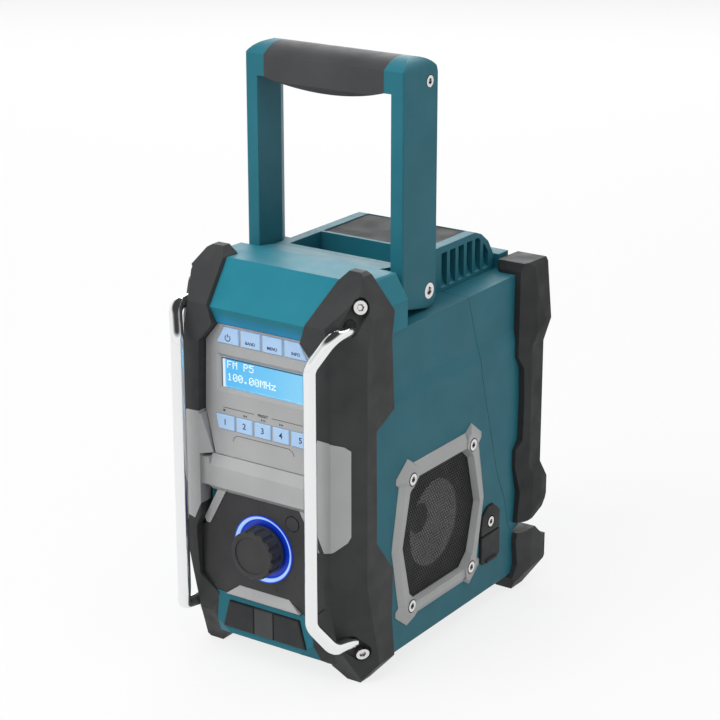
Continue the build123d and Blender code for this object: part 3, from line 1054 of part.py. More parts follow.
def knob_panel():
    """Dark panel round the knob, recessed for the light ring."""
    outline = symmetric([(CHANNEL - 17.5, CHIN_HEIGHT), (CHANNEL - 7.5, CHIN_HEIGHT),
                         (CHANNEL + 3.4, CHIN_HEIGHT + 10.7),
                         (CHANNEL + 3.4, KNOB_PANEL_TOP - 28.8), (CHANNEL - 0.4, KNOB_PANEL_TOP - 26.6),
                         (CHANNEL - 4.0, KNOB_PANEL_TOP - 26.4), (CHANNEL - 18.2, KNOB_PANEL_TOP)])
    panel = from_front(outline, KNOB_PANEL_FACE, PANEL_BACK)
    panel -= from_front(lower_trim_outline(), KNOB_PANEL_FACE, PANEL_BACK)
    panel -= rod((0, KNOB_PANEL_FACE, KNOB_HEIGHT), (0, 1, 0), RING_OUTER_RADIUS, RING_DEPTH)
    panel -= rod((0, KNOB_PANEL_FACE, KNOB_HEIGHT), (0, 1, 0), 2 * SHAFT_RADIUS, 12)
    sensor = (CHANNEL - SENSOR_OFFSET[0], KNOB_PANEL_FACE, KNOB_HEIGHT + SENSOR_OFFSET[1])
    panel -= rod(sensor, (0, 1, 0), SENSOR_RADIUS + 0.6, 0.9)
    return panel - rod(sensor, (0, 1, 0), SENSOR_RADIUS, 12)


def lower_trim():
    """Silver strip under the knob panel, sloping forward over the port covers."""
    lip = KNOB_PANEL_FACE - 2.3
    profile = [(PANEL_BACK, CHIN_HEIGHT), (lip, CHIN_HEIGHT), (lip, CHIN_HEIGHT + 1.2),
               (KNOB_PANEL_FACE, CHIN_HEIGHT + 7.7), (PANEL_BACK, CHIN_HEIGHT + 7.7)]
    return from_side(profile, -CHANNEL, CHANNEL) & from_front(lower_trim_outline(), lip, PANEL_BACK)


def sensor_window():
    """Small round window beside the knob."""
    start = (CHANNEL - SENSOR_OFFSET[0], KNOB_PANEL_FACE - 0.3, KNOB_HEIGHT + SENSOR_OFFSET[1])
    return rod(start, (0, 1, 0), SENSOR_RADIUS, PANEL_THICKNESS)


def knob_light_ring():
    """Light guide round the knob, dished towards it."""
    front = KNOB_PANEL_FACE - 0.7
    ring = rod((0, front, KNOB_HEIGHT), (0, 1, 0), RING_OUTER_RADIUS, RING_DEPTH + 0.7)
    ring -= rod((0, front, KNOB_HEIGHT), (0, 1, 0), RING_OUTER_RADIUS - 1.6, 2.4, RING_INNER_RADIUS)
    return ring - rod((0, front, KNOB_HEIGHT), (0, 1, 0), RING_INNER_RADIUS - 9.0, 10)


def knob():
    """Fluted knob with a bevelled rim and a dished face."""
    bevel = 1.2
    body = rod((0, KNOB_BASE, KNOB_HEIGHT), (0, -1, 0), KNOB_RADIUS, KNOB_DEPTH - bevel)
    body += rod((0, KNOB_FRONT + bevel, KNOB_HEIGHT), (0, -1, 0), KNOB_RADIUS, bevel, KNOB_RADIUS - 1.4)
    for step in range(KNOB_FLUTES):
        angle = radians(360 / KNOB_FLUTES * step)
        reach = KNOB_RADIUS + KNOB_FLUTE_RADIUS / 2
        start = (reach * cos(angle), KNOB_BASE - 3.0, KNOB_HEIGHT + reach * sin(angle))
        body -= rod(start, (0, -1, 0), KNOB_FLUTE_RADIUS, KNOB_DEPTH)
    body -= rod((0, KNOB_FRONT, KNOB_HEIGHT), (0, 1, 0), KNOB_FACE_RADIUS, 0.8)
    return body - rod((0, KNOB_BASE, KNOB_HEIGHT), (0, -1, 0), SHAFT_RADIUS + RUNNING_CLEARANCE,
                      SHAFT_ENGAGEMENT + 0.5)


def encoder_shaft():
    """Shaft that the knob sits on; it presses in against the encoder's switch."""
    front = KNOB_BASE - SHAFT_ENGAGEMENT
    back = ENCODER_BACK - 1.0 - 1.5 * KNOB_TRAVEL
    return rod((0, front, KNOB_HEIGHT), (0, 1, 0), SHAFT_RADIUS, back - front)


def rotary_encoder():
    """Encoder body behind the front wall, with its bushing in the wall's hole."""
    half = ENCODER_SIDE / 2
    body = block(-half, half, FRONT_WALL, ENCODER_BACK, KNOB_HEIGHT - half, KNOB_HEIGHT + half)
    body += rod((0, PANEL_BACK, KNOB_HEIGHT), (0, 1, 0), SHAFT_RADIUS + 2.0, WALL)
    depth = ENCODER_BACK - 1.0 - PANEL_BACK
    return body - rod((0, PANEL_BACK, KNOB_HEIGHT), (0, 1, 0), SHAFT_RADIUS + RUNNING_CLEARANCE, depth)


# ---------------------------------------------------------------- ports
def port_cover(side):
    """Rubber cover of the left (-1) or right (+1) port, with the plug that fills its mouth."""
    edge = PORT_ROOT_HALF + SEAM_GAP
    outline = [(side * edge, PORT_LOW), (side * PORT_HALF_BOTTOM, PORT_LOW),
               (side * PORT_HALF_TOP, PORT_HIGH),
               (side * edge, PORT_HIGH)]
    back = PORT_FLOOR - 0.3
    cover = bevelled(from_front(outline, PORT_FACE, back), Axis.Y, False, 0.7)
    half_width, half_height = (4.4, 1.6) if side < 0 else (1.3, 1.3)
    return cover + block(side * PORT_X - half_width, side * PORT_X + half_width, back, back + 1.1,
                         PORT_MIDDLE - half_height, PORT_MIDDLE + half_height)


def port_cover_root():
    """Fixed middle piece that both rubber covers hang on."""
    root = block(-PORT_ROOT_HALF, PORT_ROOT_HALF, PORT_FACE, PORT_FLOOR, PORT_LOW, PORT_HIGH)
    return bevelled(root, Axis.Y, False, 0.5)


def usb_socket():
    """Metal socket shell behind the chin's wall, with its tongue."""
    half_width, half_height = USB_SIZE[0] / 2, USB_SIZE[1] / 2
    in_width, in_height = half_width - USB_WALL, half_height - USB_WALL
    x, z, front = -PORT_X, PORT_MIDDLE, CHIN_BACK
    shell = block(x - half_width, x + half_width, front, front + SOCKET_LENGTH, z - half_height,
                  z + half_height)
    shell -= block(x - in_width, x + in_width, front, front + SOCKET_LENGTH - 1.5, z - in_height,
                   z + in_height)
    tongue = block(x - in_width + 0.8, x + in_width - 0.8, front + 3.0, front + SOCKET_LENGTH - 1.0,
                   z + 0.4, z + 2.0)
    return shell + tongue


def aux_jack():
    """Audio jack behind the chin's wall: square body with a round bore."""
    half = AUX_SIDE / 2
    body = block(PORT_X - half, PORT_X + half, CHIN_BACK, CHIN_BACK + SOCKET_LENGTH, PORT_MIDDLE - half,
                 PORT_MIDDLE + half)
    return body - rod((PORT_X, CHIN_BACK, PORT_MIDDLE), (0, 1, 0), AUX_RADIUS, AUX_LENGTH)


# ---------------------------------------------------------------- speakers
def frame_ear():
    """Outline of the screw ear at the upper rear, from the frame's middle, (y, z)."""
    depth, height = FRAME_HALF_DEPTH, FRAME_HALF_HEIGHT
    return [(depth - 8.7, height - 17.4), (depth - 5.1, height - 14.8), (depth - 5.1, height - 10.9),
            (depth - 19.2, height), (depth - 27.2, height - 5.1)]


def frame_outline(grow):
    """Side view of the speaker frame: a wide octagon with an ear at each screw, (y, z)."""
    quarter = [(FRAME_HALF_DEPTH + grow, 0.0)] + [(y + grow, z + grow) for y, z in frame_ear()]
    return four_fold(quarter, SPEAKER_Y, SPEAKER_Z)


def bar_outline(grow):
    """Side view of the frame's bars without the ears, which the grille also has, (y, z)."""
    depth, height = FRAME_HALF_DEPTH + grow, FRAME_HALF_HEIGHT + grow
    return four_fold([(depth, 0.0), (depth - 8.7, height - 17.4), (depth - 15.0, height - 5.1)],
                     SPEAKER_Y, SPEAKER_Z)


def frame_opening(grow):
    """Opening of the speaker frame: an octagon cut back at the screws, (y, z)."""
    depth, height = FRAME_HALF_DEPTH - FRAME_BAR + grow, FRAME_HALF_HEIGHT - 17.0 + grow
    quarter = [(depth, 0.0), (depth - 9.3, height - 9.0), (depth - 19.5, height)]
    return four_fold(quarter, SPEAKER_Y, SPEAKER_Z)


def speaker_screw_places():
    y_reach = FRAME_HALF_DEPTH - SPEAKER_SCREW_INSET[0]
    z_reach = FRAME_HALF_HEIGHT - SPEAKER_SCREW_INSET[1]
    return [(SPEAKER_Y + y_side * y_reach, SPEAKER_Z + z_side * z_reach)
            for y_side in (-1, 1) for z_side in (-1, 1)]


def speaker_ear():
    """Raised ear round the upper rear screw, with a broad facet on each outer side."""
    depth, height, rim = FRAME_HALF_DEPTH, FRAME_HALF_HEIGHT, BODY_HALF_WIDTH + 0.5
    outline = frame_ear() + [(depth - 29.5, height - 20.0), (depth - 18.0, height - 25.5)]
    ear = from_side([(SPEAKER_Y + y, SPEAKER_Z + z) for y, z in outline], FRAME_BACK, FRAME_FACE)
    inside = (FRAME_BACK, SPEAKER_Y + depth - 22.0, SPEAKER_Z + height - 16.0)
    tip, crown = (depth - 12.8, height - 14.6), (depth - 23.9, height - 5.6)
    corners = frame_ear()
    for first, second, face_point in zip(corners[:-1], corners[1:], (tip, tip, tip, crown)):
        base = [(rim, SPEAKER_Y + y, SPEAKER_Z + z) for y, z in (first, second)]
        ear = trim(ear, *base, (FRAME_FACE, SPEAKER_Y + face_point[0], SPEAKER_Z + face_point[1]), inside)
    return ear


def speaker_frame():
    """Right speaker frame: bevelled bars with raised screw ears."""
    frame = from_side(bar_outline(0.0), FRAME_BACK, FRAME_FACE - FRAME_STEP)
    face = frame.faces().sort_by(Axis.X)[-1]
    frame = chamfer(face.edges(), FRAME_BEVEL[0], FRAME_BEVEL[1], reference=face)
    upper = speaker_ear()
    upper += mirror(upper, about=Plane.XZ.offset(-SPEAKER_Y))
    frame += upper + mirror(upper, about=Plane.XY.offset(SPEAKER_Z))
    opening_back = Plane.YZ.offset(FRAME_BACK) * make_face(Polyline(*frame_opening(0.0), close=True))
    opening_front = Plane.YZ.offset(FRAME_FACE) * make_face(Polyline(*frame_opening(1.8), close=True))
    frame -= loft([opening_back, opening_front])
    seat = FRAME_FACE - SPEAKER_SCREW_SINK
    for y, z in speaker_screw_places():
        frame -= rod((seat, y, z), (1, 0, 0), SPEAKER_SCREW_RADIUS + 0.8, 10)
        frame -= rod((FRAME_BACK, y, z), (1, 0, 0), SCREW_SHANK_RADIUS, 10)
    return frame


def speaker_screws():
    seat = FRAME_FACE - SPEAKER_SCREW_SINK
    group = [screw(Vector(seat, y, z), Vector(1, 0, 0), SPEAKER_SCREW_RADIUS, 2.4, SCREW_SHANK_RADIUS,
                   3.4)
             for y, z in speaker_screw_places()]
    return both_sides(group[0] + group[1:])


def speaker_grille():
    """Flat grille with a round field of hexagonal holes in front of the cone."""
    plate = from_side(bar_outline(-FIT_GAP), GRILLE_PLANE, FRAME_BACK)
    row_height = GRILLE_PITCH * cos(radians(30))
    reach = int(CONE_RADIUS / row_height) + 1
    holes = Sketch()
    for row in range(-reach, reach + 1):
        for column in range(-reach, reach + 1):
            y, z = (column + 0.5 * (row % 2)) * GRILLE_PITCH, row * row_height
            if y * y + z * z < (CONE_RADIUS - 2.0) ** 2:
                holes += Pos(SPEAKER_Y + y, SPEAKER_Z + z) * RegularPolygon(GRILLE_HOLE, 6)
    plate -= extrude(Plane.YZ.offset(GRILLE_PLANE) * holes, GRILLE_THICKNESS)
    for y, z in speaker_screw_places():
        plate -= rod((GRILLE_PLANE, y, z), (1, 0, 0), SCREW_SHANK_RADIUS, GRILLE_THICKNESS)
    return plate


def turned(points):
    """Turned piece about the speaker's axis from an (x, radius) outline."""
    outline = [(x, SPEAKER_Z + radius) for x, radius in points]
    face = Plane.XZ.offset(-SPEAKER_Y) * make_face(Polyline(*outline, close=True))
    return revolve(face, axis=Axis((0, SPEAKER_Y, SPEAKER_Z), (1, 0, 0)))


def speaker_basket():
    """Driver frame with its magnet, behind the side panel."""
    front, neck = INNER_SIDE, CONE_RADIUS + SURROUND_WIDTH
    magnet = front - BASKET_DEPTH + MAGNET_LENGTH
    points = [(front, BASKET_RADIUS), (front, neck), (front - 2.0, neck), (magnet + 4.0, 17.0),
              (magnet + 2.0, 0.0),
              (magnet - MAGNET_LENGTH, 0.0), (magnet - MAGNET_LENGTH, MAGNET_RADIUS),
              (magnet, MAGNET_RADIUS),
              (magnet, 20.0), (front - 3.0, BASKET_RADIUS)]
    return turned(points)


def speaker_cone():
    """Cone with its surround and dust cap, sitting in the basket."""
    front, skin, neck = INNER_SIDE, 0.8, CONE_RADIUS + SURROUND_WIDTH
    points = [(front - 0.2, neck), (front + 1.4, CONE_RADIUS + SURROUND_WIDTH / 2),
              (front - 0.2, CONE_RADIUS),
              (front - CONE_DEPTH, 11.0), (front - CONE_DEPTH + 2.8, 0.0),
              (front - CONE_DEPTH + 2.8 - skin, 0.0),
              (front - CONE_DEPTH - 1.4, 11.0), (front - 1.4, CONE_RADIUS), (front - 1.4, neck)]
    return turned(points)


# ---------------------------------------------------------------- power inlet and its cover
def cover_outline(grow):
    """Side view of the inlet's cover, grown by a gap, (y, z)."""
    half, slant = COVER_HALF_WIDTH + grow, COVER_HIGH - COVER_SLANT
    return [(INLET_Y - half, COVER_LOW + 3.0), (INLET_Y - half + 4.0, COVER_LOW - grow),
            (INLET_Y + half - 4.0, COVER_LOW - grow), (INLET_Y + half, COVER_LOW + 3.0),
            (INLET_Y + half, slant),
            (INLET_Y + 4.0, COVER_HIGH + grow), (INLET_Y - 4.0, COVER_HIGH + grow),
            (INLET_Y - half, slant)]


def dc_tab():
    """Fixed upper end of the rubber cover, held by a screw and cut back along the speaker frame."""
    half, face = COVER_HALF_WIDTH, BODY_HALF_WIDTH + COVER_PROUD
    tab = from_side(cover_outline(0.0), COVER_BACK, face)
    tab -= from_side(frame_outline(COVER_GAP), COVER_BACK, face)
    tab &= block(COVER_BACK, face, INLET_Y - half, INLET_Y + half, COVER_FOLD + COVER_GAP, COVER_HIGH)
    tab = bevelled(tab, Axis.X, True, 0.6)
    seat = dc_screw_seat()
    tab -= rod(seat, (1, 0, 0), COVER_SCREW_RADIUS + 0.8, 5)
    return tab - rod(seat, (-1, 0, 0), SCREW_SHANK_RADIUS, 5)


def dc_flap():
    """Lower end of the rubber cover, which folds up off the inlet, with a finger lip."""
    half, back, face = COVER_HALF_WIDTH, COVER_BACK + COVER_GAP, BODY_HALF_WIDTH + COVER_PROUD + COVER_GAP
    flap = from_side(cover_outline(0.0), back, face)
    flap &= block(back, face, INLET_Y - half, INLET_Y + half, COVER_LOW, COVER_FOLD - COVER_GAP)
    flap = bevelled(flap, Axis.X, True, 0.6)
    return flap + block(face, face + 1.2, INLET_Y - 7, INLET_Y + 7, COVER_LOW + 1.0, COVER_LOW + 3.0)


def dc_screw_seat():
    return Vector(BODY_HALF_WIDTH - 0.2, INLET_Y, COVER_HIGH - COVER_SCREW_DROP)


def dc_screw():
    return screw(dc_screw_seat(), Vector(1, 0, 0), COVER_SCREW_RADIUS, 2.2, SCREW_SHANK_RADIUS, 2.6)


def dc_jack():
    """Power inlet: round bore with its centre pin, in a square body."""
    half, floor = INLET_SIDE / 2, INLET_FACE - INLET_LENGTH + 1.0
    body = block(INLET_FACE - INLET_LENGTH, INLET_FACE, INLET_Y - half, INLET_Y + half, INLET_Z - half,
                 INLET_Z + half)
    body -= rod((floor, INLET_Y, INLET_Z), (1, 0, 0), INLET_BORE, INLET_LENGTH)
    return body + rod((floor - 0.5, INLET_Y, INLET_Z), (1, 0, 0), 1.0, INLET_LENGTH - 1.5)


# ---------------------------------------------------------------- write the pieces
def main():
    form = bumper_form()
    bar = guard_bar()
    core = corner_core()
    bumper = rear_bumper()
    foot = rear_foot()
    right_pieces = {
        "front_bumper": front_bumper(form, bar, core),
        "guard_bar": bar,
        "speaker_frame": speaker_frame(),
        "handle_arm": handle_arm(),
        "rear_bumper": bumper,
    }
    nodes = {
        "main_housing": main_housing(form, foot),
        "front_housing": front_housing(form, bar, core),
        "top_pad": top_pad(),
        "display_panel": display_panel(),
        "lcd_window": lcd_window(),
        "lcd_module": lcd_module(),
        "silver_frame": silver_frame(form),
        "knob_panel": knob_panel(),
        "lower_trim": lower_trim(),
        "sensor_window": sensor_window(),
        "knob_light_ring": knob_light_ring(),
        "knob": knob(),
        "encoder_shaft": encoder_shaft(),
        "rotary_encoder": rotary_encoder(),
        "circuit_board": circuit_board(),
        "tact_switches": tact_switches(),
        "port_cover_root": port_cover_root(),
        "usb_cover": port_cover(-1),
        "aux_cover": port_cover(1),
        "usb_socket": usb_socket(),
        "aux_jack": aux_jack(),
        "bumper_screws": bumper_screws(),
        "speaker_grilles": both_sides(speaker_grille()),
        "speaker_baskets": both_sides(speaker_basket()),
        "speaker_cones": both_sides(speaker_cone()),
        "speaker_screws": speaker_screws(),
        "dc_cover_tab": dc_tab(),
        "dc_cover_flap": dc_flap(),
        "dc_cover_screw": dc_screw(),
        "dc_jack": dc_jack(),
        "handle_grip": handle_grip(),
        "handle_pivots": handle_pivots(),
        "handle_screws": handle_screws(),
        "wire_aerial": wire_aerial(),
        "battery_door": battery_door(bumper),
        "door_hinge_pins": door_hinge_pins(),
        "door_latch": door_latch(),
        "latch_pin": latch_pin(),
        "latch_spring": latch_spring(),
        "rear_feet": both_sides(foot),
        "battery_terminal": battery_terminal(),
    }
    for name, shape in right_pieces.items():
        nodes[f"right_{name}"] = shape
        nodes[f"left_{name}"] = mirror(shape, about=Plane.YZ)
    for name, cell, row, slant in all_buttons():
        nodes[name] = button(cell, row, slant)
    for name, shape in nodes.items():
        export_step(shape, f"parts/{name}.step")


main()
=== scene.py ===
import json
import math

import bmesh
import bpy
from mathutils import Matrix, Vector


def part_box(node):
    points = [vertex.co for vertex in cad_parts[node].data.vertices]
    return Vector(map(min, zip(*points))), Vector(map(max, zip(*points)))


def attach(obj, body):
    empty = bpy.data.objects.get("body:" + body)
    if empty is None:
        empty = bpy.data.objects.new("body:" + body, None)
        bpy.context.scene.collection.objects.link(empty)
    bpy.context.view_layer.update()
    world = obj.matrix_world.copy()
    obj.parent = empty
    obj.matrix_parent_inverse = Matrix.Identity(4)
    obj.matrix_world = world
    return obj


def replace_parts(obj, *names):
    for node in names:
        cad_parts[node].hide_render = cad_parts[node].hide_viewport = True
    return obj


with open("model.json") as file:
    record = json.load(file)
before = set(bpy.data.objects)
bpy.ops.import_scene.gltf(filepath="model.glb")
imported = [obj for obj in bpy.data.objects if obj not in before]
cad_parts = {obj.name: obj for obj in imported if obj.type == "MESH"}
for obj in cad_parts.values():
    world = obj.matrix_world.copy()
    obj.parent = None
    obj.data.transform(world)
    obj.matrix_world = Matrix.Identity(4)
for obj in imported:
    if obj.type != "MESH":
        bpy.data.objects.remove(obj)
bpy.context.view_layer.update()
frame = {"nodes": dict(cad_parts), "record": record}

nodes = frame["nodes"]
MM = 0.001

# ---------------------------------------------------------------- places taken from the frame, metres
PANEL_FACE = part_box("display_panel")[0].y
KNOB_PANEL_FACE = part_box("knob_panel")[0].y
BUTTON_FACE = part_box("power_button")[0].y
LCD_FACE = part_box("lcd_module")[0].y
KNOB_CENTRE = sum((corner.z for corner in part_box("knob")), 0.0) / 2
RIM_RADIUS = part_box("knob_light_ring")[1].x
GRILLE_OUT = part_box("speaker_grilles")[1].x
CONE_LOW, CONE_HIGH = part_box("speaker_cones")
SPEAKER_Y, SPEAKER_Z = (CONE_LOW.y + CONE_HIGH.y) / 2, (CONE_LOW.z + CONE_HIGH.z) / 2

# ---------------------------------------------------------------- camera
AZIMUTH, ELEVATION = math.radians(34.212), math.radians(19.078)
CAMERA_PLACE = (0.81745, -1.19480, 0.69811)  # metres
FOCAL_LENGTH = 108.45  # for a sensor 36 mm wide
forward = Vector((-math.sin(AZIMUTH) * math.cos(ELEVATION), math.cos(AZIMUTH) * math.cos(ELEVATION),
                  -math.sin(ELEVATION)))
camera_data = bpy.data.cameras.new("camera")
camera_data.sensor_fit = "HORIZONTAL"
camera_data.sensor_width = 36.0
camera_data.lens = FOCAL_LENGTH
camera_data.clip_end = 20.0
camera = bpy.data.objects.new("camera", camera_data)
camera.location = CAMERA_PLACE
camera.rotation_euler = forward.to_track_quat("-Z", "Y").to_euler()
bpy.context.scene.collection.objects.link(camera)
bpy.context.scene.camera = camera
bpy.context.scene.view_settings.view_transform = "Standard"


# ---------------------------------------------------------------- node helpers
def new_material(name):
    """Empty node material with its shader; returns (material, tree, shader)."""
    material = bpy.data.materials.new(name)
    material.use_nodes = True
    tree = material.node_tree
    return material, tree, tree.nodes["Principled BSDF"]


def node(tree, kind, **values):
    """A node with its properties and input values set."""
    made = tree.nodes.new(kind)
    for key, value in values.items():
        if hasattr(made, key):
            setattr(made, key, value)
        else:
            made.inputs[key.replace("_", " ")].default_value = value
    return made


def math_node(tree, operation, *values):
    """Math node; each value is a number or an output."""
    made = node(tree, "ShaderNodeMath", operation=operation)
    for socket, value in zip(made.inputs, values):
        if isinstance(value, (int, float)):
            socket.default_value = value
        else:
            tree.links.new(value, socket)
    return made.outputs["Value"]


def distance(tree, across, rise):
    """Distance from an axis, out of the two offsets from it."""
    return math_node(tree, "SQRT", math_node(tree, "ADD", math_node(tree, "MULTIPLY", across, across),
                                             math_node(tree, "MULTIPLY", rise, rise)))


def position(tree):
    return node(tree, "ShaderNodeTexCoord").outputs["Object"]


def axes(tree):
    """Object coordinates as three outputs."""
    split = node(tree, "ShaderNodeSeparateXYZ")
    tree.links.new(position(tree), split.inputs["Vector"])
    return split.outputs["X"], split.outputs["Y"], split.outputs["Z"]


def noise(tree, scale, detail=3.0, roughness=0.5):
    made = node(tree, "ShaderNodeTexNoise", Scale=scale, Detail=detail, Roughness=roughness)
    tree.links.new(position(tree), made.inputs["Vector"])
    return made.outputs["Fac"]


def spread(tree, value, low, high, from_low=0.35, from_high=0.65):
    """Maps a pattern's value to a range, held at its ends."""
    made = node(tree, "ShaderNodeMapRange")
    for key, number in zip(("From Min", "From Max", "To Min", "To Max"), (from_low, from_high, low, high)):
        made.inputs[key].default_value = number
    tree.links.new(value, made.inputs["Value"])
    return made.outputs["Result"]


def mix_colour(tree, factor, first, second):
    """Mix of two colours or outputs by a factor."""
    made = node(tree, "ShaderNodeMix", data_type="RGBA")
    tree.links.new(factor, made.inputs["Factor"])
    for socket, value in ((made.inputs[6], first), (made.inputs[7], second)):
        if isinstance(value, tuple):
            socket.default_value = (*value, 1)
        else:
            tree.links.new(value, socket)
    return made.outputs[2]


def rounded_normal(tree, radius):
    """Shading normal that rounds the edges, and a mask of those edges."""
    bevel = node(tree, "ShaderNodeBevel", samples=4, Radius=radius)
    true = node(tree, "ShaderNodeNewGeometry").outputs["Normal"]
    turn = node(tree, "ShaderNodeVectorMath", operation="DOT_PRODUCT")
    tree.links.new(bevel.outputs["Normal"], turn.inputs[0])
    tree.links.new(true, turn.inputs[1])
    return bevel.outputs["Normal"], spread(tree, turn.outputs["Value"], 1.0, 0.0, 0.8, 0.99)


def bump(tree, shader, height, strength, depth, normal=None):
    made = node(tree, "ShaderNodeBump", Strength=strength, Distance=depth)
    tree.links.new(height, made.inputs["Height"])
    if normal is not None:
        tree.links.new(normal, made.inputs["Normal"])
    tree.links.new(made.outputs["Normal"], shader.inputs["Normal"])


def moulded(name, dark, light, rough_low, rough_high, grain=1600.0, strength=0.25, depth=0.06 * MM,
            radius=0.6 * MM, worn=None, wear=0.3, **sockets):
    """Moulded plastic, paint or rubber: soft colour drift, rubbed edges, fine grain and uneven gloss."""
    material, tree, shader = new_material(name)
    normal, edge = rounded_normal(tree, radius)
    colour = mix_colour(tree, spread(tree, noise(tree, 26.0, 4.0), 0.0, 1.0), dark, light)
    if worn is not None:
        rubbed = math_node(tree, "MULTIPLY", edge, spread(tree, noise(tree, 55.0, 5.0), 0.3 * wear, wear))
        colour = mix_colour(tree, rubbed, colour, worn)
    tree.links.new(colour, shader.inputs["Base Color"])
    tree.links.new(spread(tree, noise(tree, 70.0, 5.0), rough_low, rough_high), shader.inputs["Roughness"])
    bump(tree, shader, noise(tree, grain, 2.0), strength, depth, normal)
    for key, value in sockets.items():
        shader.inputs[key.replace("_", " ")].default_value = value
    return material


# painted shade and dirt: near-black colour given to the hollows of bright metal
HOLLOW_SHADE_AND_DIRT_COLOUR = (0.008, 0.008, 0.009)


def metal(name, colour, rough_low, rough_high, grain=600.0, radius=0.2 * MM, shade_and_dirt_reach=None):
    """Bright metal; with a reach given, shade and dirt are painted into its hollows by ambient occlusion."""
    material, tree, shader = new_material(name)
    normal = rounded_normal(tree, radius)[0]
    if shade_and_dirt_reach:
        # ambient occlusion paints shade and dirt into hollows such as the screw sockets
        hollow = node(tree, "ShaderNodeAmbientOcclusion", samples=8, Distance=shade_and_dirt_reach)
        open_part = spread(tree, hollow.outputs["AO"], 0.0, 1.0, 0.45, 0.8)
        tree.links.new(mix_colour(tree, open_part, HOLLOW_SHADE_AND_DIRT_COLOUR, colour), shader.inputs["Base Color"])
    else:
        shader.inputs["Base Color"].default_value = (*colour, 1)
    shader.inputs["Metallic"].default_value = 1.0
    tree.links.new(spread(tree, noise(tree, 90.0, 4.0), rough_low, rough_high), shader.inputs["Roughness"])
    bump(tree, shader, noise(tree, grain, 2.0), 0.06, 0.03 * MM, normal)
    return material


def lit(name, colour, glow, strength):
    """Lit plastic whose glow drifts a little."""
    material, tree, shader = new_material(name)
    drift = spread(tree, noise(tree, 160.0, 3.0), 0.0, 1.0)
    faded = tuple(0.82 * value for value in glow)
    tree.links.new(mix_colour(tree, drift, faded, glow), shader.inputs["Emission Color"])
    shader.inputs["Base Color"].default_value = (*colour, 1)
    shader.inputs["Emission Strength"].default_value = strength
    shader.inputs["Specular IOR Level"].default_value = 0.3
    tree.links.new(spread(tree, noise(tree, 120.0, 3.0), 0.28, 0.4), shader.inputs["Roughness"])
    return material


# ---------------------------------------------------------------- materials
TEAL_DARK, TEAL_LIGHT = (0.016, 0.142, 0.188), (0.020, 0.160, 0.210)
# painted light: lighter teal for the sloped plate above the display panel, as lit from above
LIT_PLATE_DARK, LIT_PLATE_LIGHT = (0.012, 0.178, 0.240), (0.016, 0.196, 0.262)
teal = moulded("teal_plastic", TEAL_DARK, TEAL_LIGHT, 0.47, 0.53, worn=(0.06, 0.26, 0.32),
               Specular_IOR_Level=0.25)
rubber = moulded("bumper_rubber", (0.036, 0.037, 0.038), (0.046, 0.047, 0.048), 0.55, 0.7, 1300.0, 0.35,
                 0.08 * MM, 0.8 * MM, (0.11, 0.11, 0.112), Specular_IOR_Level=0.3)
grip = moulded("grip_rubber", (0.042, 0.043, 0.045), (0.052, 0.053, 0.055), 0.5, 0.62, 1500.0, 0.3,
               0.08 * MM, 0.5 * MM, (0.11, 0.11, 0.112), Specular_IOR_Level=0.4)
silver = moulded("silver_paint", (0.395, 0.397, 0.400), (0.435, 0.437, 0.440), 0.36, 0.46, 1900.0, 0.12,
                 0.03 * MM, 0.5 * MM, (0.5, 0.5, 0.5), Metallic=0.25)
dark = moulded("dark_plastic", (0.030, 0.030, 0.032), (0.038, 0.038, 0.040), 0.45, 0.58, 1500.0, 0.25,
               0.05 * MM, 0.5 * MM, (0.09, 0.09, 0.092), Specular_IOR_Level=0.35)
pad = moulded("pad_rubber", (0.050, 0.052, 0.054), (0.062, 0.064, 0.066), 0.65, 0.8, 900.0, 0.4, 0.1 * MM,
              Specular_IOR_Level=0.2)
chrome = metal("chrome", (0.84, 0.845, 0.85), 0.08, 0.15)
# screws with painted shade and dirt in their sockets
steel = metal("steel", (0.74, 0.73, 0.72), 0.2, 0.3, 900.0, shade_and_dirt_reach=1.6 * MM)
grille = moulded("grille_metal", (0.020, 0.020, 0.021), (0.028, 0.028, 0.029), 0.45, 0.6, 1800.0, 0.2,
                 0.04 * MM, 0.1 * MM)
basket = moulded("speaker_metal", (0.02, 0.02, 0.022), (0.03, 0.03, 0.033), 0.4, 0.5)
cover = moulded("cover_rubber", (0.022, 0.023, 0.024), (0.030, 0.031, 0.032), 0.55, 0.68, 1500.0, 0.3,
                0.08 * MM, 0.5 * MM, (0.08, 0.08, 0.082), Specular_IOR_Level=0.3)
# painted shade: a darker copy of the bumper rubber for the rear bumpers, for the shade the shelf and sides
# cast on them
shaded_rear_rubber = moulded("shaded_rear_rubber", (0.024, 0.025, 0.026), (0.032, 0.033, 0.034), 0.55, 0.7, 1300.0, 0.35,
                      0.08 * MM, 0.8 * MM, (0.09, 0.09, 0.092), Specular_IOR_Level=0.25)
# the felt colour also serves as the painted shade inside the bars' holes
felt_and_gap_shade = moulded("speaker_felt", (0.012, 0.012, 0.013), (0.02, 0.02, 0.021), 0.85, 0.95, 2200.0, 0.8, 0.2 * MM)
electronics = moulded("electronics", (0.02, 0.05, 0.03), (0.03, 0.06, 0.04), 0.4, 0.55)
button_blue = lit("button_blue", (0.34, 0.49, 0.67), (0.28, 0.43, 0.68), 0.32)
ink = moulded("ink", (0.006, 0.016, 0.10), (0.010, 0.024, 0.14), 0.5, 0.6)
# dark ink serves the print, and also the painted shadow at the display window's edge
dark_ink_and_shadow = moulded("dark_ink_and_shadow", (0.05, 0.05, 0.055), (0.07, 0.07, 0.075), 0.5, 0.6)
lcd_white = lit("lcd_characters", (0.75, 0.8, 0.85), (0.80, 0.92, 1.0), 0.55)


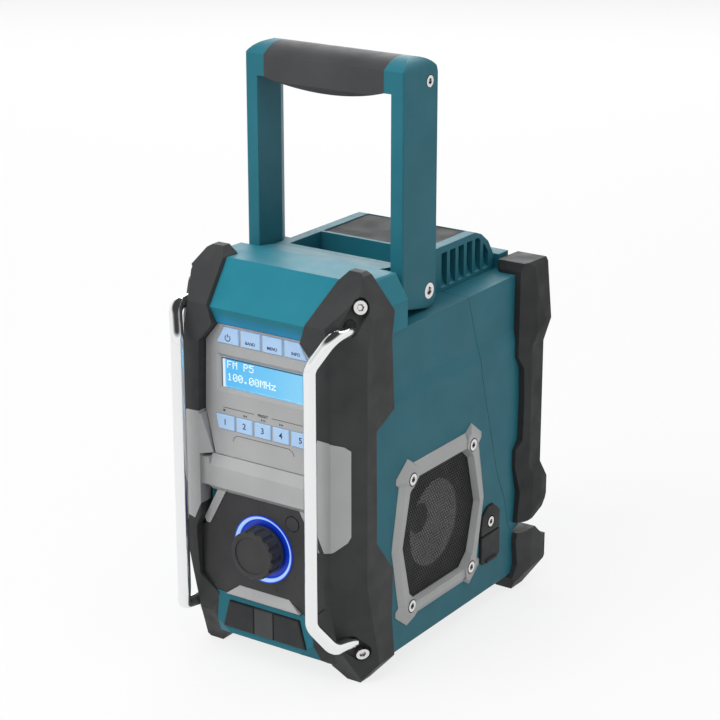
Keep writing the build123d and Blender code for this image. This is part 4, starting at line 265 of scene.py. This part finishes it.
def display_material():
    """Backlit blue, white at the end where the light comes in."""
    material, tree, shader = new_material("display")
    x = axes(tree)[0]
    cloudy = math_node(tree, "ADD", spread(tree, noise(tree, 60.0, 3.0), -0.1, 0.1),
                       spread(tree, x, 0.0, 1.0, -0.030, 0.034))
    blue = mix_colour(tree, cloudy, (0.12, 0.52, 0.84), (0.28, 0.66, 0.88))
    glow = mix_colour(tree, spread(tree, x, 1.0, 0.0, -0.0345, -0.0325), blue, (0.95, 0.97, 1.0))
    tree.links.new(glow, shader.inputs["Emission Color"])
    shader.inputs["Emission Strength"].default_value = 0.85
    shader.inputs["Base Color"].default_value = (0.03, 0.12, 0.2, 1)
    tree.links.new(spread(tree, noise(tree, 120.0), 0.3, 0.4), shader.inputs["Roughness"])
    return material


def ring_material():
    """Light guide: pale bright rim, deep blue dish inside it."""
    material, tree, shader = new_material("light_guide")
    x, _, z = axes(tree)
    radius = distance(tree, x, math_node(tree, "SUBTRACT", z, KNOB_CENTRE))
    rim = spread(tree, radius, 0.0, 1.0, RIM_RADIUS - 3.3 * MM, RIM_RADIUS - 2.7 * MM)
    edge = spread(tree, radius, 1.0, 0.0, RIM_RADIUS - 1.1 * MM, RIM_RADIUS - 0.5 * MM)
    bright = math_node(tree, "MULTIPLY", rim, edge)
    dish = mix_colour(tree, spread(tree, radius, 0.0, 1.0, RIM_RADIUS - 8.5 * MM, RIM_RADIUS - 3.3 * MM),
                      (0.0, 0.006, 0.10), (0.0, 0.045, 0.80))
    tree.links.new(mix_colour(tree, bright, dish, (0.40, 0.62, 1.0)), shader.inputs["Emission Color"])
    drift = spread(tree, noise(tree, 90.0), 0.9, 1.05)
    tree.links.new(math_node(tree, "MULTIPLY", spread(tree, bright, 0.6, 1.0, 0.0, 1.0), drift),
                   shader.inputs["Emission Strength"])
    shader.inputs["Base Color"].default_value = (0.003, 0.012, 0.10, 1)
    tree.links.new(spread(tree, noise(tree, 120.0), 0.3, 0.45), shader.inputs["Roughness"])
    return material


def plate_material():
    """Teal of the front housing: a lighter teal painted on the plate as light from above, and a painted glow
    of the buttons' blue light under its ridge.
    """
    material = moulded("teal_front", TEAL_DARK, TEAL_LIGHT, 0.47, 0.53, worn=(0.06, 0.26, 0.32),
                       Specular_IOR_Level=0.25)
    tree = material.node_tree
    shader = tree.nodes["Principled BSDF"]
    x, _, z = axes(tree)
    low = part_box("display_panel")[1].z
    high = low + 9 * MM
    # painted light: above the display panel's top the plate gets the lighter teal, as lit from above
    lit_plate_colour = mix_colour(tree, spread(tree, noise(tree, 26.0, 4.0), 0.0, 1.0), LIT_PLATE_DARK, LIT_PLATE_LIGHT)
    moulded_colour = shader.inputs["Base Color"].links[0].from_socket
    tree.links.new(mix_colour(tree, spread(tree, z, 0.0, 1.0, low, low + MM), moulded_colour, lit_plate_colour),
                   shader.inputs["Base Color"])
    # painted light: a blue glow on the teal under the ridge stands in for the buttons' light reflected there
    glow = math_node(tree, "MULTIPLY", spread(tree, z, 1.0, 0.0, low, high),
                     spread(tree, z, 0.0, 1.0, low - MM, low))
    across = spread(tree, math_node(tree, "ABSOLUTE", x), 1.0, 0.0, 30 * MM, 42 * MM)
    drift = spread(tree, noise(tree, 40.0), 0.22, 0.3)
    tree.links.new(math_node(tree, "MULTIPLY", math_node(tree, "MULTIPLY", glow, across), drift),
                   shader.inputs["Emission Strength"])
    shader.inputs["Emission Color"].default_value = (0.02, 0.22, 0.85, 1)
    return material


def paper_material():
    """Pale cone with a darker dust cap and surround."""
    material = moulded("speaker_cone", (0.38, 0.38, 0.38), (0.46, 0.46, 0.46), 0.7, 0.85, 700.0, 0.5,
                       0.2 * MM)
    tree = material.node_tree
    shader = tree.nodes["Principled BSDF"]
    _, y, z = axes(tree)
    radius = distance(tree, math_node(tree, "SUBTRACT", y, SPEAKER_Y),
                      math_node(tree, "SUBTRACT", z, SPEAKER_Z))
    pale = math_node(tree, "MULTIPLY", spread(tree, radius, 0.0, 1.0, 10.6 * MM, 11.4 * MM),
                     spread(tree, radius, 1.0, 0.0, 31.0 * MM, 32.0 * MM))
    cone = shader.inputs["Base Color"].links[0].from_socket
    tree.links.new(mix_colour(tree, pale, (0.03, 0.03, 0.031), cone), shader.inputs["Base Color"])
    return material


display, light_guide, teal_front = display_material(), ring_material(), plate_material()
paper = paper_material()

glass, glass_tree, glass_shader = new_material("display_glass")
glass_shader.inputs["Base Color"].default_value = (0.95, 0.98, 1.0, 1)
glass_shader.inputs["Transmission Weight"].default_value = 1.0
glass_shader.inputs["IOR"].default_value = 1.2
glass_tree.links.new(spread(glass_tree, noise(glass_tree, 60.0), 0.0, 0.04), glass_shader.inputs["Roughness"])

looks = {"teal_plastic": teal, "bumper_rubber": rubber, "grip_rubber": grip, "silver_paint": silver,
         "dark_plastic": dark, "chrome": chrome, "steel": steel, "display_glass": glass, "display": display,
         "button_blue": button_blue, "light_guide": light_guide, "grille_metal": grille,
         "speaker_metal": basket, "speaker_paper": paper, "electronics": electronics}
for entry in frame["record"]["subparts"]:
    piece = nodes[entry["node"]]
    piece.data.materials.clear()
    piece.data.materials.append(looks[entry["material_slot"]])
# the rear bumpers take the darker rubber with painted shade
for name, material in (("top_pad", pad), ("usb_cover", cover), ("aux_cover", cover), ("dc_cover_tab", cover),
                       ("dc_cover_flap", cover), ("right_rear_bumper", shaded_rear_rubber),
                       ("left_rear_bumper", shaded_rear_rubber)):
    nodes[name].data.materials[0] = material


# ---------------------------------------------------------------- pieces in mesh code
def new_piece(name, shape, material, body="root", thickness=None):
    """Object from a bmesh that rides on a body, with an optional thickness behind its face."""
    mesh = bpy.data.meshes.new(name)
    shape.to_mesh(mesh)
    shape.free()
    mesh.materials.append(material)
    made = bpy.data.objects.new(name, mesh)
    bpy.context.scene.collection.objects.link(made)
    if thickness:
        solid = made.modifiers.new("thickness", "SOLIDIFY")
        solid.thickness = thickness
        solid.offset = -1.0
    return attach(made, body)


def speaker_mesh():
    """Fine perforated sheet in front of each speaker, out to a circle hidden under the frame."""
    pitch, hole, reach = 2.5 * MM, 1.12 * MM, 55.2 * MM
    face = GRILLE_OUT - 0.1 * MM
    corner = pitch / math.sqrt(3)
    turns = [math.radians(60 * step + 30) for step in range(6)]
    rows = int(reach / (1.5 * corner)) + 1
    shape = bmesh.new()
    for side in (-1, 1):
        for row in range(-rows, rows + 1):
            for column in range(-rows, rows + 1):
                y, z = (column + 0.5 * (row % 2)) * pitch, row * 1.5 * corner
                if math.hypot(y, z) > reach:
                    continue
                rings = [[shape.verts.new((side * face, SPEAKER_Y + y + size * math.cos(turn),
                                           SPEAKER_Z + z + size * math.sin(turn))) for turn in turns]
                         for size in (corner, hole)]
                for step in range(6):
                    after = (step + 1) % 6
                    around = [rings[0][step], rings[0][after], rings[1][after], rings[1][step]]
                    shape.faces.new(around if side > 0 else around[::-1])
    bmesh.ops.remove_doubles(shape, verts=shape.verts, dist=0.01 * MM)
    return new_piece("speaker_mesh", shape, grille, thickness=0.35 * MM)


def speaker_felt():
    """Black cloth between the mesh and the housing, open in front of the cone."""
    inner, outer, count = 33.0 * MM, 56.2 * MM, 72
    face = GRILLE_OUT - 0.8 * MM
    turns = [2 * math.pi * step / count for step in range(count)]
    shape = bmesh.new()
    for side in (-1, 1):
        rings = [[shape.verts.new((side * face, SPEAKER_Y + size * math.cos(turn),
                                   SPEAKER_Z + size * math.sin(turn))) for turn in turns]
                 for size in (outer, inner)]
        for step in range(count):
            after = (step + 1) % count
            around = [rings[0][step], rings[0][after], rings[1][after], rings[1][step]]
            shape.faces.new(around if side > 0 else around[::-1])
    return new_piece("speaker_felt", shape, felt_and_gap_shade, thickness=0.3 * MM)


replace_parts(speaker_mesh(), "speaker_grilles")
speaker_felt()


def hull(points, side):
    """Convex shape round points in mm, on the right or mirrored to the left."""
    shape = bmesh.new()
    for x, y, z in points:
        shape.verts.new((side * x * MM, y * MM, z * MM))
    made = bmesh.ops.convex_hull(shape, input=shape.verts)
    bmesh.ops.delete(shape, geom=list({*made["geom_interior"], *made["geom_unused"]}), context="VERTS")
    bmesh.ops.recalc_face_normals(shape, faces=shape.faces)
    return shape


def carve(target, cutter_shape):
    """Cuts a bmesh out of an object's mesh."""
    mesh = bpy.data.meshes.new("cutter")
    cutter_shape.to_mesh(mesh)
    cutter_shape.free()
    cutter = bpy.data.objects.new("cutter", mesh)
    bpy.context.scene.collection.objects.link(cutter)
    cut = target.modifiers.new("cut", "BOOLEAN")
    cut.operation, cut.solver, cut.object = "DIFFERENCE", "EXACT", cutter
    bpy.context.view_layer.update()
    carved = bpy.data.meshes.new_from_object(target.evaluated_get(bpy.context.evaluated_depsgraph_get()))
    target.modifiers.clear()
    target.data = carved
    bpy.data.objects.remove(cutter)


def housing_without_flange():
    """Front housing whose chin ends at the bumpers instead of running on in front of them."""
    shape = bmesh.new()
    shape.from_mesh(nodes["front_housing"].data)
    bmesh.ops.remove_doubles(shape, verts=shape.verts, dist=0.001 * MM)
    housing = new_piece("front_shell", shape, teal_front)
    before_face = [(x, y, z) for x in (43.9, 80.0)
                   for y, z in ((-120.0, 0.0), (-120.0, 34.0), (-107.0, 34.0), (-105.7, 32.1), (-88.0, 2.4))]
    before_bevel = [(50.0, -116.6, 34.0), (50.0, -108.5, 0.0), (80.0, -79.6, 34.0), (80.0, -71.4, 0.0),
                    *((x, -130.0, z) for x in (50.0, 80.0) for z in (0.0, 34.0))]
    for side in (-1, 1):
        for corners in (before_face, before_bevel):
            carve(housing, hull(corners, side))
    return housing


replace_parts(housing_without_flange(), "front_housing")
# teal corner of the chin, and the rubber that meets it without a step
CHIN_CORNER = [(41.3, -109.5, 29.9), (29.8, -109.5, 20.9), (31.0, -103.3, 17.2), (43.8, -103.3, 17.2),
               (41.3, -103.3, 29.9), (29.8, -103.3, 20.9)]
BUMPER_TOE = [(40.2, -109.4, 43.0), (41.3, -109.6, 29.9), (43.7, -103.7, 17.4), (43.9, -95.5, 12.0),
              (46.0, -107.6, 40.0), (52.0, -104.3, 30.0), (52.5, -98.2, 20.0), (50.0, -93.0, 11.0),
              (44.0, -100.0, 43.0), (46.0, -92.0, 12.0)]


BEVEL_INWARD = Vector((-0.777, 0.629, 0.0))
BEVEL_ALONG = Vector((0.629, 0.777, 0.0))
BAR_ROOTS = {"upper": (66.9, -101.6, 261.5), "lower": (64.5, -99.2, 34.0)}


def bar_plug(root):
    """Points of the dark plug in a bar's hole, from 1.5 to 7 mm under the bevel; the plug is painted shade in
    the hole's gap round the bar.
    """
    points = []
    for depth, radius in ((1.5, 2.6), (2.4, 4.3), (7.0, 4.3)):
        for turn in (math.radians(18 * step) for step in range(20)):
            points.append(Vector(root) + BEVEL_INWARD * depth + BEVEL_ALONG * radius * math.cos(turn)
                          + Vector((0.0, 0.0, radius * math.sin(turn))))
    return points


for side, word in ((1, "right"), (-1, "left")):
    new_piece(f"{word}_chin_corner", hull(CHIN_CORNER, side), teal_front)
    new_piece(f"{word}_bumper_toe", hull(BUMPER_TOE, side), rubber)
    for end, root in BAR_ROOTS.items():
        # near-black plug: painted shade in the gap of the bumper's hole round the bar
        new_piece(f"{word}_{end}_plug", hull(bar_plug(root), side), felt_and_gap_shade)


def rounded_path(spline, corners, radius):
    """Straight runs between corners in mm, with a rounded bend at each inner one."""
    corners = [Vector(corner) * MM for corner in corners]
    points = [(corners[0], None)]
    for before, corner, after in zip(corners, corners[1:], corners[2:]):
        back, on = (before - corner).normalized(), (after - corner).normalized()
        reach = radius * MM / math.tan(0.5 * back.angle(on))
        points += [(corner + back * reach, corner), (corner + on * reach, corner)]
    points.append((corners[-1], None))
    spline.bezier_points.add(len(points) - 1)
    for place, (point, (where, corner)) in enumerate(zip(spline.bezier_points, points)):
        point.co = where
        last, following = points[max(place - 1, 0)][0], points[min(place + 1, len(points) - 1)][0]
        into, out = where + (last - where) / 3, where + (following - where) / 3
        if corner is not None and place % 2 == 1:
            out = where + (corner - where) * 0.6
        elif corner is not None:
            into = where + (corner - where) * 0.6
        point.handle_left, point.handle_right = into, out


BAR_CORNERS = [(64.2, -95.0, 257.5), (64.2, -118.5, 258.2), (54.1, -129.5, 238.5), (54.1, -129.5, 56.5),
               (64.2, -118.0, 37.6), (64.2, -95.0, 34.3)]
BAR_RADIUS, BAR_BEND = 4.5, 11.0
for side, word in ((1, "right"), (-1, "left")):
    curve = bpy.data.curves.new(f"{word}_chrome_bar", "CURVE")
    curve.dimensions = "3D"
    curve.bevel_depth = BAR_RADIUS * MM
    curve.bevel_resolution, curve.resolution_u = 8, 10
    curve.use_fill_caps = True
    rounded_path(curve.splines.new("BEZIER"), [(side * x, y, z) for x, y, z in BAR_CORNERS], BAR_BEND)
    curve.materials.append(chrome)
    chrome_bar = bpy.data.objects.new(f"{word}_chrome_bar", curve)
    bpy.context.scene.collection.objects.link(chrome_bar)
    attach(chrome_bar, "root")
    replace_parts(chrome_bar, f"{word}_guard_bar")


def plates(name, outlines, face, material, body="root", thickness=0.06 * MM):
    """Thin printed shapes, and the painted shadow plates, on a face that looks forward, from (x, z) outlines
    in mm.
    """
    shape = bmesh.new()
    for outline in outlines:
        shape.faces.new([shape.verts.new((x * MM, face - thickness, z * MM)) for x, z in outline])
    bmesh.ops.recalc_face_normals(shape, faces=shape.faces)
    for flat in shape.faces:
        if flat.normal.y > 0:
            flat.normal_flip()
    return new_piece(name, shape, material, body, thickness)


def bar(start, end, width):
    """Outline of a straight line of some width."""
    along = Vector((end[0] - start[0], end[1] - start[1])).normalized() * width / 2
    across = Vector((-along.y, along.x))
    return [(start[0] + across.x, start[1] + across.y), (end[0] + across.x, end[1] + across.y),
            (end[0] - across.x, end[1] - across.y), (start[0] - across.x, start[1] - across.y)]


def label(name, words, place, size, material, body="root"):
    """Printed words on a face that looks forward."""
    data = bpy.data.curves.new(name, "FONT")
    data.body = words
    data.size = size
    data.align_x, data.align_y = "CENTER", "CENTER"
    data.extrude = 0.03 * MM
    data.offset = 0.07 * MM
    data.materials.append(material)
    made = bpy.data.objects.new(name, data)
    made.location = place
    made.rotation_euler = (math.radians(90), 0, 0)
    bpy.context.scene.collection.objects.link(made)
    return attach(made, body)


# ---------------------------------------------------------------- display characters, 5 x 7 dots
GLYPHS = {"F": "11111 10000 10000 11110 10000 10000 10000", "M": "10001 11011 10101 10101 10001 10001 10001",
          "P": "11110 10001 10001 11110 10000 10000 10000", "5": "11111 10000 11110 00001 00001 10001 01110",
          "1": "00100 01100 00100 00100 00100 00100 01110", "0": "01110 10001 10011 10101 11001 10001 01110",
          ".": "00000 00000 00000 00000 00000 01100 01100", "H": "10001 10001 10001 11111 10001 10001 10001",
          "z": "00000 00000 11111 00010 00100 01000 11111", " ": "00000 00000 00000 00000 00000 00000 00000"}
DOT, DOT_GAP = 0.76, 0.06
LINE_LEFT, UPPER_LINE, LOWER_LINE = -31.6, 221.2, 212.4


def display_line(words, left, top):
    """Dot outlines of one line of characters, in mm."""
    dots = []
    for place, letter in enumerate(words):
        for row, cells in enumerate(GLYPHS[letter].split()):
            for column, cell in enumerate(cells):
                if cell == "1":
                    x, z = left + (6 * place + column) * DOT, top - row * DOT
                    side = DOT - DOT_GAP
                    dots.append([(x, z), (x + side, z), (x + side, z - side), (x, z - side)])
    return dots


plates("lcd_characters", display_line("FM P5", LINE_LEFT, UPPER_LINE)
       + display_line("100.00MHz", LINE_LEFT, LOWER_LINE), LCD_FACE, lcd_white,
       thickness=0.03 * MM)


def display_mask():
    """Painted shadow: a dark edge along the top and the left of the display window, where its recess shades
    the display.
    """
    margin, top_width, side_width = 0.1, 0.9, 0.8
    window_low, window_high = (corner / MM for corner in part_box("lcd_window"))
    left, right = window_low.x + margin, window_high.x - margin
    low, high = window_low.z + margin, window_high.z - margin
    return plates("lcd_painted_shadow",
                  [[(left, high), (right, high), (right, high - top_width), (left, high - top_width)],
                   [(left, high), (left + side_width, high), (left + side_width, low), (left, low)]],
                  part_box("lcd_window")[0].y, dark_ink_and_shadow)


# painted shadow where the window's recess shades the display, along its top and left
display_mask()

# ---------------------------------------------------------------- printing on the panel and the buttons
LINE_WIDTH = 0.4
marks = [bar((-33.4, 188.3), (-7.2, 188.3), LINE_WIDTH), bar((7.2, 188.3), (33.4, 188.3), LINE_WIDTH),
         bar((-21.4, 169.6), (21.4, 169.6), LINE_WIDTH)]
for side in (-1, 1):
    marks += [bar((side * 21.4, 169.6), (side * 24.2, 168.2), LINE_WIDTH),
              bar((side * 24.2, 168.2), (side * 25.6, 165.0), LINE_WIDTH)]
for centre, way in ((-15.2, -1), (15.2, 1)):
    for shift in (-0.9, 0.9):
        tip = centre + shift + way * 0.8
        marks.append([(tip - way * 1.6, 186.2), (tip, 185.3), (tip - way * 1.6, 184.4)])
marks += [[(-1.6, 186.2), (0.0, 185.3), (-1.6, 184.4)], bar((0.7, 186.2), (0.7, 184.4), 0.45),
          bar((1.6, 186.2), (1.6, 184.4), 0.45)]
marks += [bar((-33.4, 186.2), (-31.6, 186.2), 1.4)]
plates("panel_marks", marks, PANEL_FACE, dark_ink_and_shadow)
label("preset_word", "PRESET", (0, PANEL_FACE - 0.03 * MM, 188.2 * MM), 2.7 * MM, dark_ink_and_shadow)

for number in range(1, 6):
    low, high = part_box(f"preset_button_{number}")
    centre = (0.5 * (low.x + high.x), BUTTON_FACE - 0.03 * MM, 0.5 * (low.z + high.z))
    label(f"preset_number_{number}", str(number), centre, 6.0 * MM, ink, f"preset_button_{number}")
for name, word in (("mode", "BAND"), ("menu", "MENU"), ("info", "INFO")):
    low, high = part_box(f"{name}_button")
    centre = (0.5 * (low.x + high.x), BUTTON_FACE - 0.03 * MM, low.z + 3.4 * MM)
    label(f"{name}_word", word, centre, 3.0 * MM, ink, f"{name}_button")


def power_symbol():
    """Open ring with a stroke in its gap."""
    low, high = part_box("power_button")
    x, z, radius = 500 * (low.x + high.x) + 0.4, 1000 * low.z + 4.2, 2.1
    steps = [math.radians(125 + 290 * step / 18) for step in range(19)]
    points = [(x + radius * math.cos(turn), z + radius * math.sin(turn)) for turn in steps]
    strokes = [bar(first, second, 0.6) for first, second in zip(points, points[1:])]
    strokes.append(bar((x, z + 0.4), (x, z + 2.9), 0.6))
    return plates("power_symbol", strokes, BUTTON_FACE, ink, "power_button")


power_symbol()


def knob_marks():
    """Small dots round the knob, from the low end to the high end of its turn."""
    dots = []
    for step in range(9):
        turn = math.radians(250 - 40 * step)
        x, z = 29.6 * math.cos(turn), 1000 * KNOB_CENTRE + 29.6 * math.sin(turn)
        if abs(turn - math.radians(50)) < 0.1:
            continue
        dots.append([(x + 0.55 * math.cos(math.radians(60 * k)), z + 0.55 * math.sin(math.radians(60 * k)))
                     for k in range(6)])
    return plates("knob_marks", dots, KNOB_PANEL_FACE, grip, thickness=0.3 * MM)


knob_marks()

# ---------------------------------------------------------------- floor, world and lamps
def seen_or_mirrored(tree):
    """1 for camera, glossy and transmission rays, else 0."""
    path = node(tree, "ShaderNodeLightPath")
    seen = math_node(tree, "MAXIMUM", path.outputs["Is Camera Ray"], path.outputs["Is Glossy Ray"])
    return math_node(tree, "MAXIMUM", seen, path.outputs["Is Transmission Ray"])


floor_material, floor_tree, floor_shader = new_material("floor")
floor_colour = mix_colour(floor_tree, seen_or_mirrored(floor_tree), (0.55, 0.55, 0.55), (0.78, 0.78, 0.78))
floor_tree.links.new(floor_colour, floor_shader.inputs["Base Color"])
floor_shader.inputs["Roughness"].default_value = 0.9
floor_shader.inputs["Specular IOR Level"].default_value = 0.0
white = node(floor_tree, "ShaderNodeEmission", Color=(1, 1, 1, 1), Strength=1.0)
blend = node(floor_tree, "ShaderNodeMixShader")
floor_glow = math_node(floor_tree, "MULTIPLY", seen_or_mirrored(floor_tree), 0.8)
floor_tree.links.new(floor_glow, blend.inputs["Fac"])
floor_tree.links.new(floor_shader.outputs["BSDF"], blend.inputs[1])
floor_tree.links.new(white.outputs["Emission"], blend.inputs[2])
floor_tree.links.new(blend.outputs["Shader"], floor_tree.nodes["Material Output"].inputs["Surface"])
bpy.ops.mesh.primitive_plane_add(size=12.0, location=(0, 0, 0))
floor = bpy.context.object
floor.name = "floor"
floor.data.materials.append(floor_material)

world = bpy.data.worlds.new("world")
bpy.context.scene.world = world
world.use_nodes = True
background = world.node_tree.nodes["Background"]
background.inputs["Color"].default_value = (1, 1, 1, 1)
sky = world.node_tree
split_sky = node(sky, "ShaderNodeSeparateXYZ")
sky.links.new(node(sky, "ShaderNodeTexCoord").outputs["Generated"], split_sky.inputs["Vector"])
# white round the horizon, nearly black overhead where metal mirrors it
SKY_LIGHT = 0.42  # strength of the sky as a light
shade = spread(sky, split_sky.outputs["Z"], 1.0, 0.05, 0.4, 0.75)
seen_sky = math_node(sky, "MULTIPLY", seen_or_mirrored(sky), math_node(sky, "SUBTRACT", shade, SKY_LIGHT))
sky.links.new(math_node(sky, "ADD", seen_sky, SKY_LIGHT), background.inputs["Strength"])


def lamp(name, place, target, size, power, glossy=False, diffuse=True):
    data = bpy.data.lights.new(name, "AREA")
    data.shape = "RECTANGLE"
    data.size, data.size_y = size
    data.energy = power
    made = bpy.data.objects.new(name, data)
    made.location = place
    made.rotation_euler = (Vector(target) - Vector(place)).to_track_quat("-Z", "Y").to_euler()
    made.visible_camera = False
    made.visible_glossy = glossy
    made.visible_diffuse = diffuse
    bpy.context.scene.collection.objects.link(made)


lamp("key", (-0.9, -2.1, 1.9), (0, 0, 0.2), (2.0, 1.6), 43.0)
lamp("top", (0.1, -0.5, 2.4), (0, 0, 0.2), (2.0, 2.0), 26.0)
lamp("fill", (2.2, -0.2, 1.0), (0, 0, 0.2), (1.6, 1.6), 4.0)
lamp("back", (-1.3, 2.0, 1.2), (0, 0, 0.3), (2.4, 1.4), 26.0, glossy=True)
lamp("rim", (0.0, 1.6, 1.7), (0, 0, 0.35), (1.8, 0.9), 20.0, glossy=True, diffuse=False)
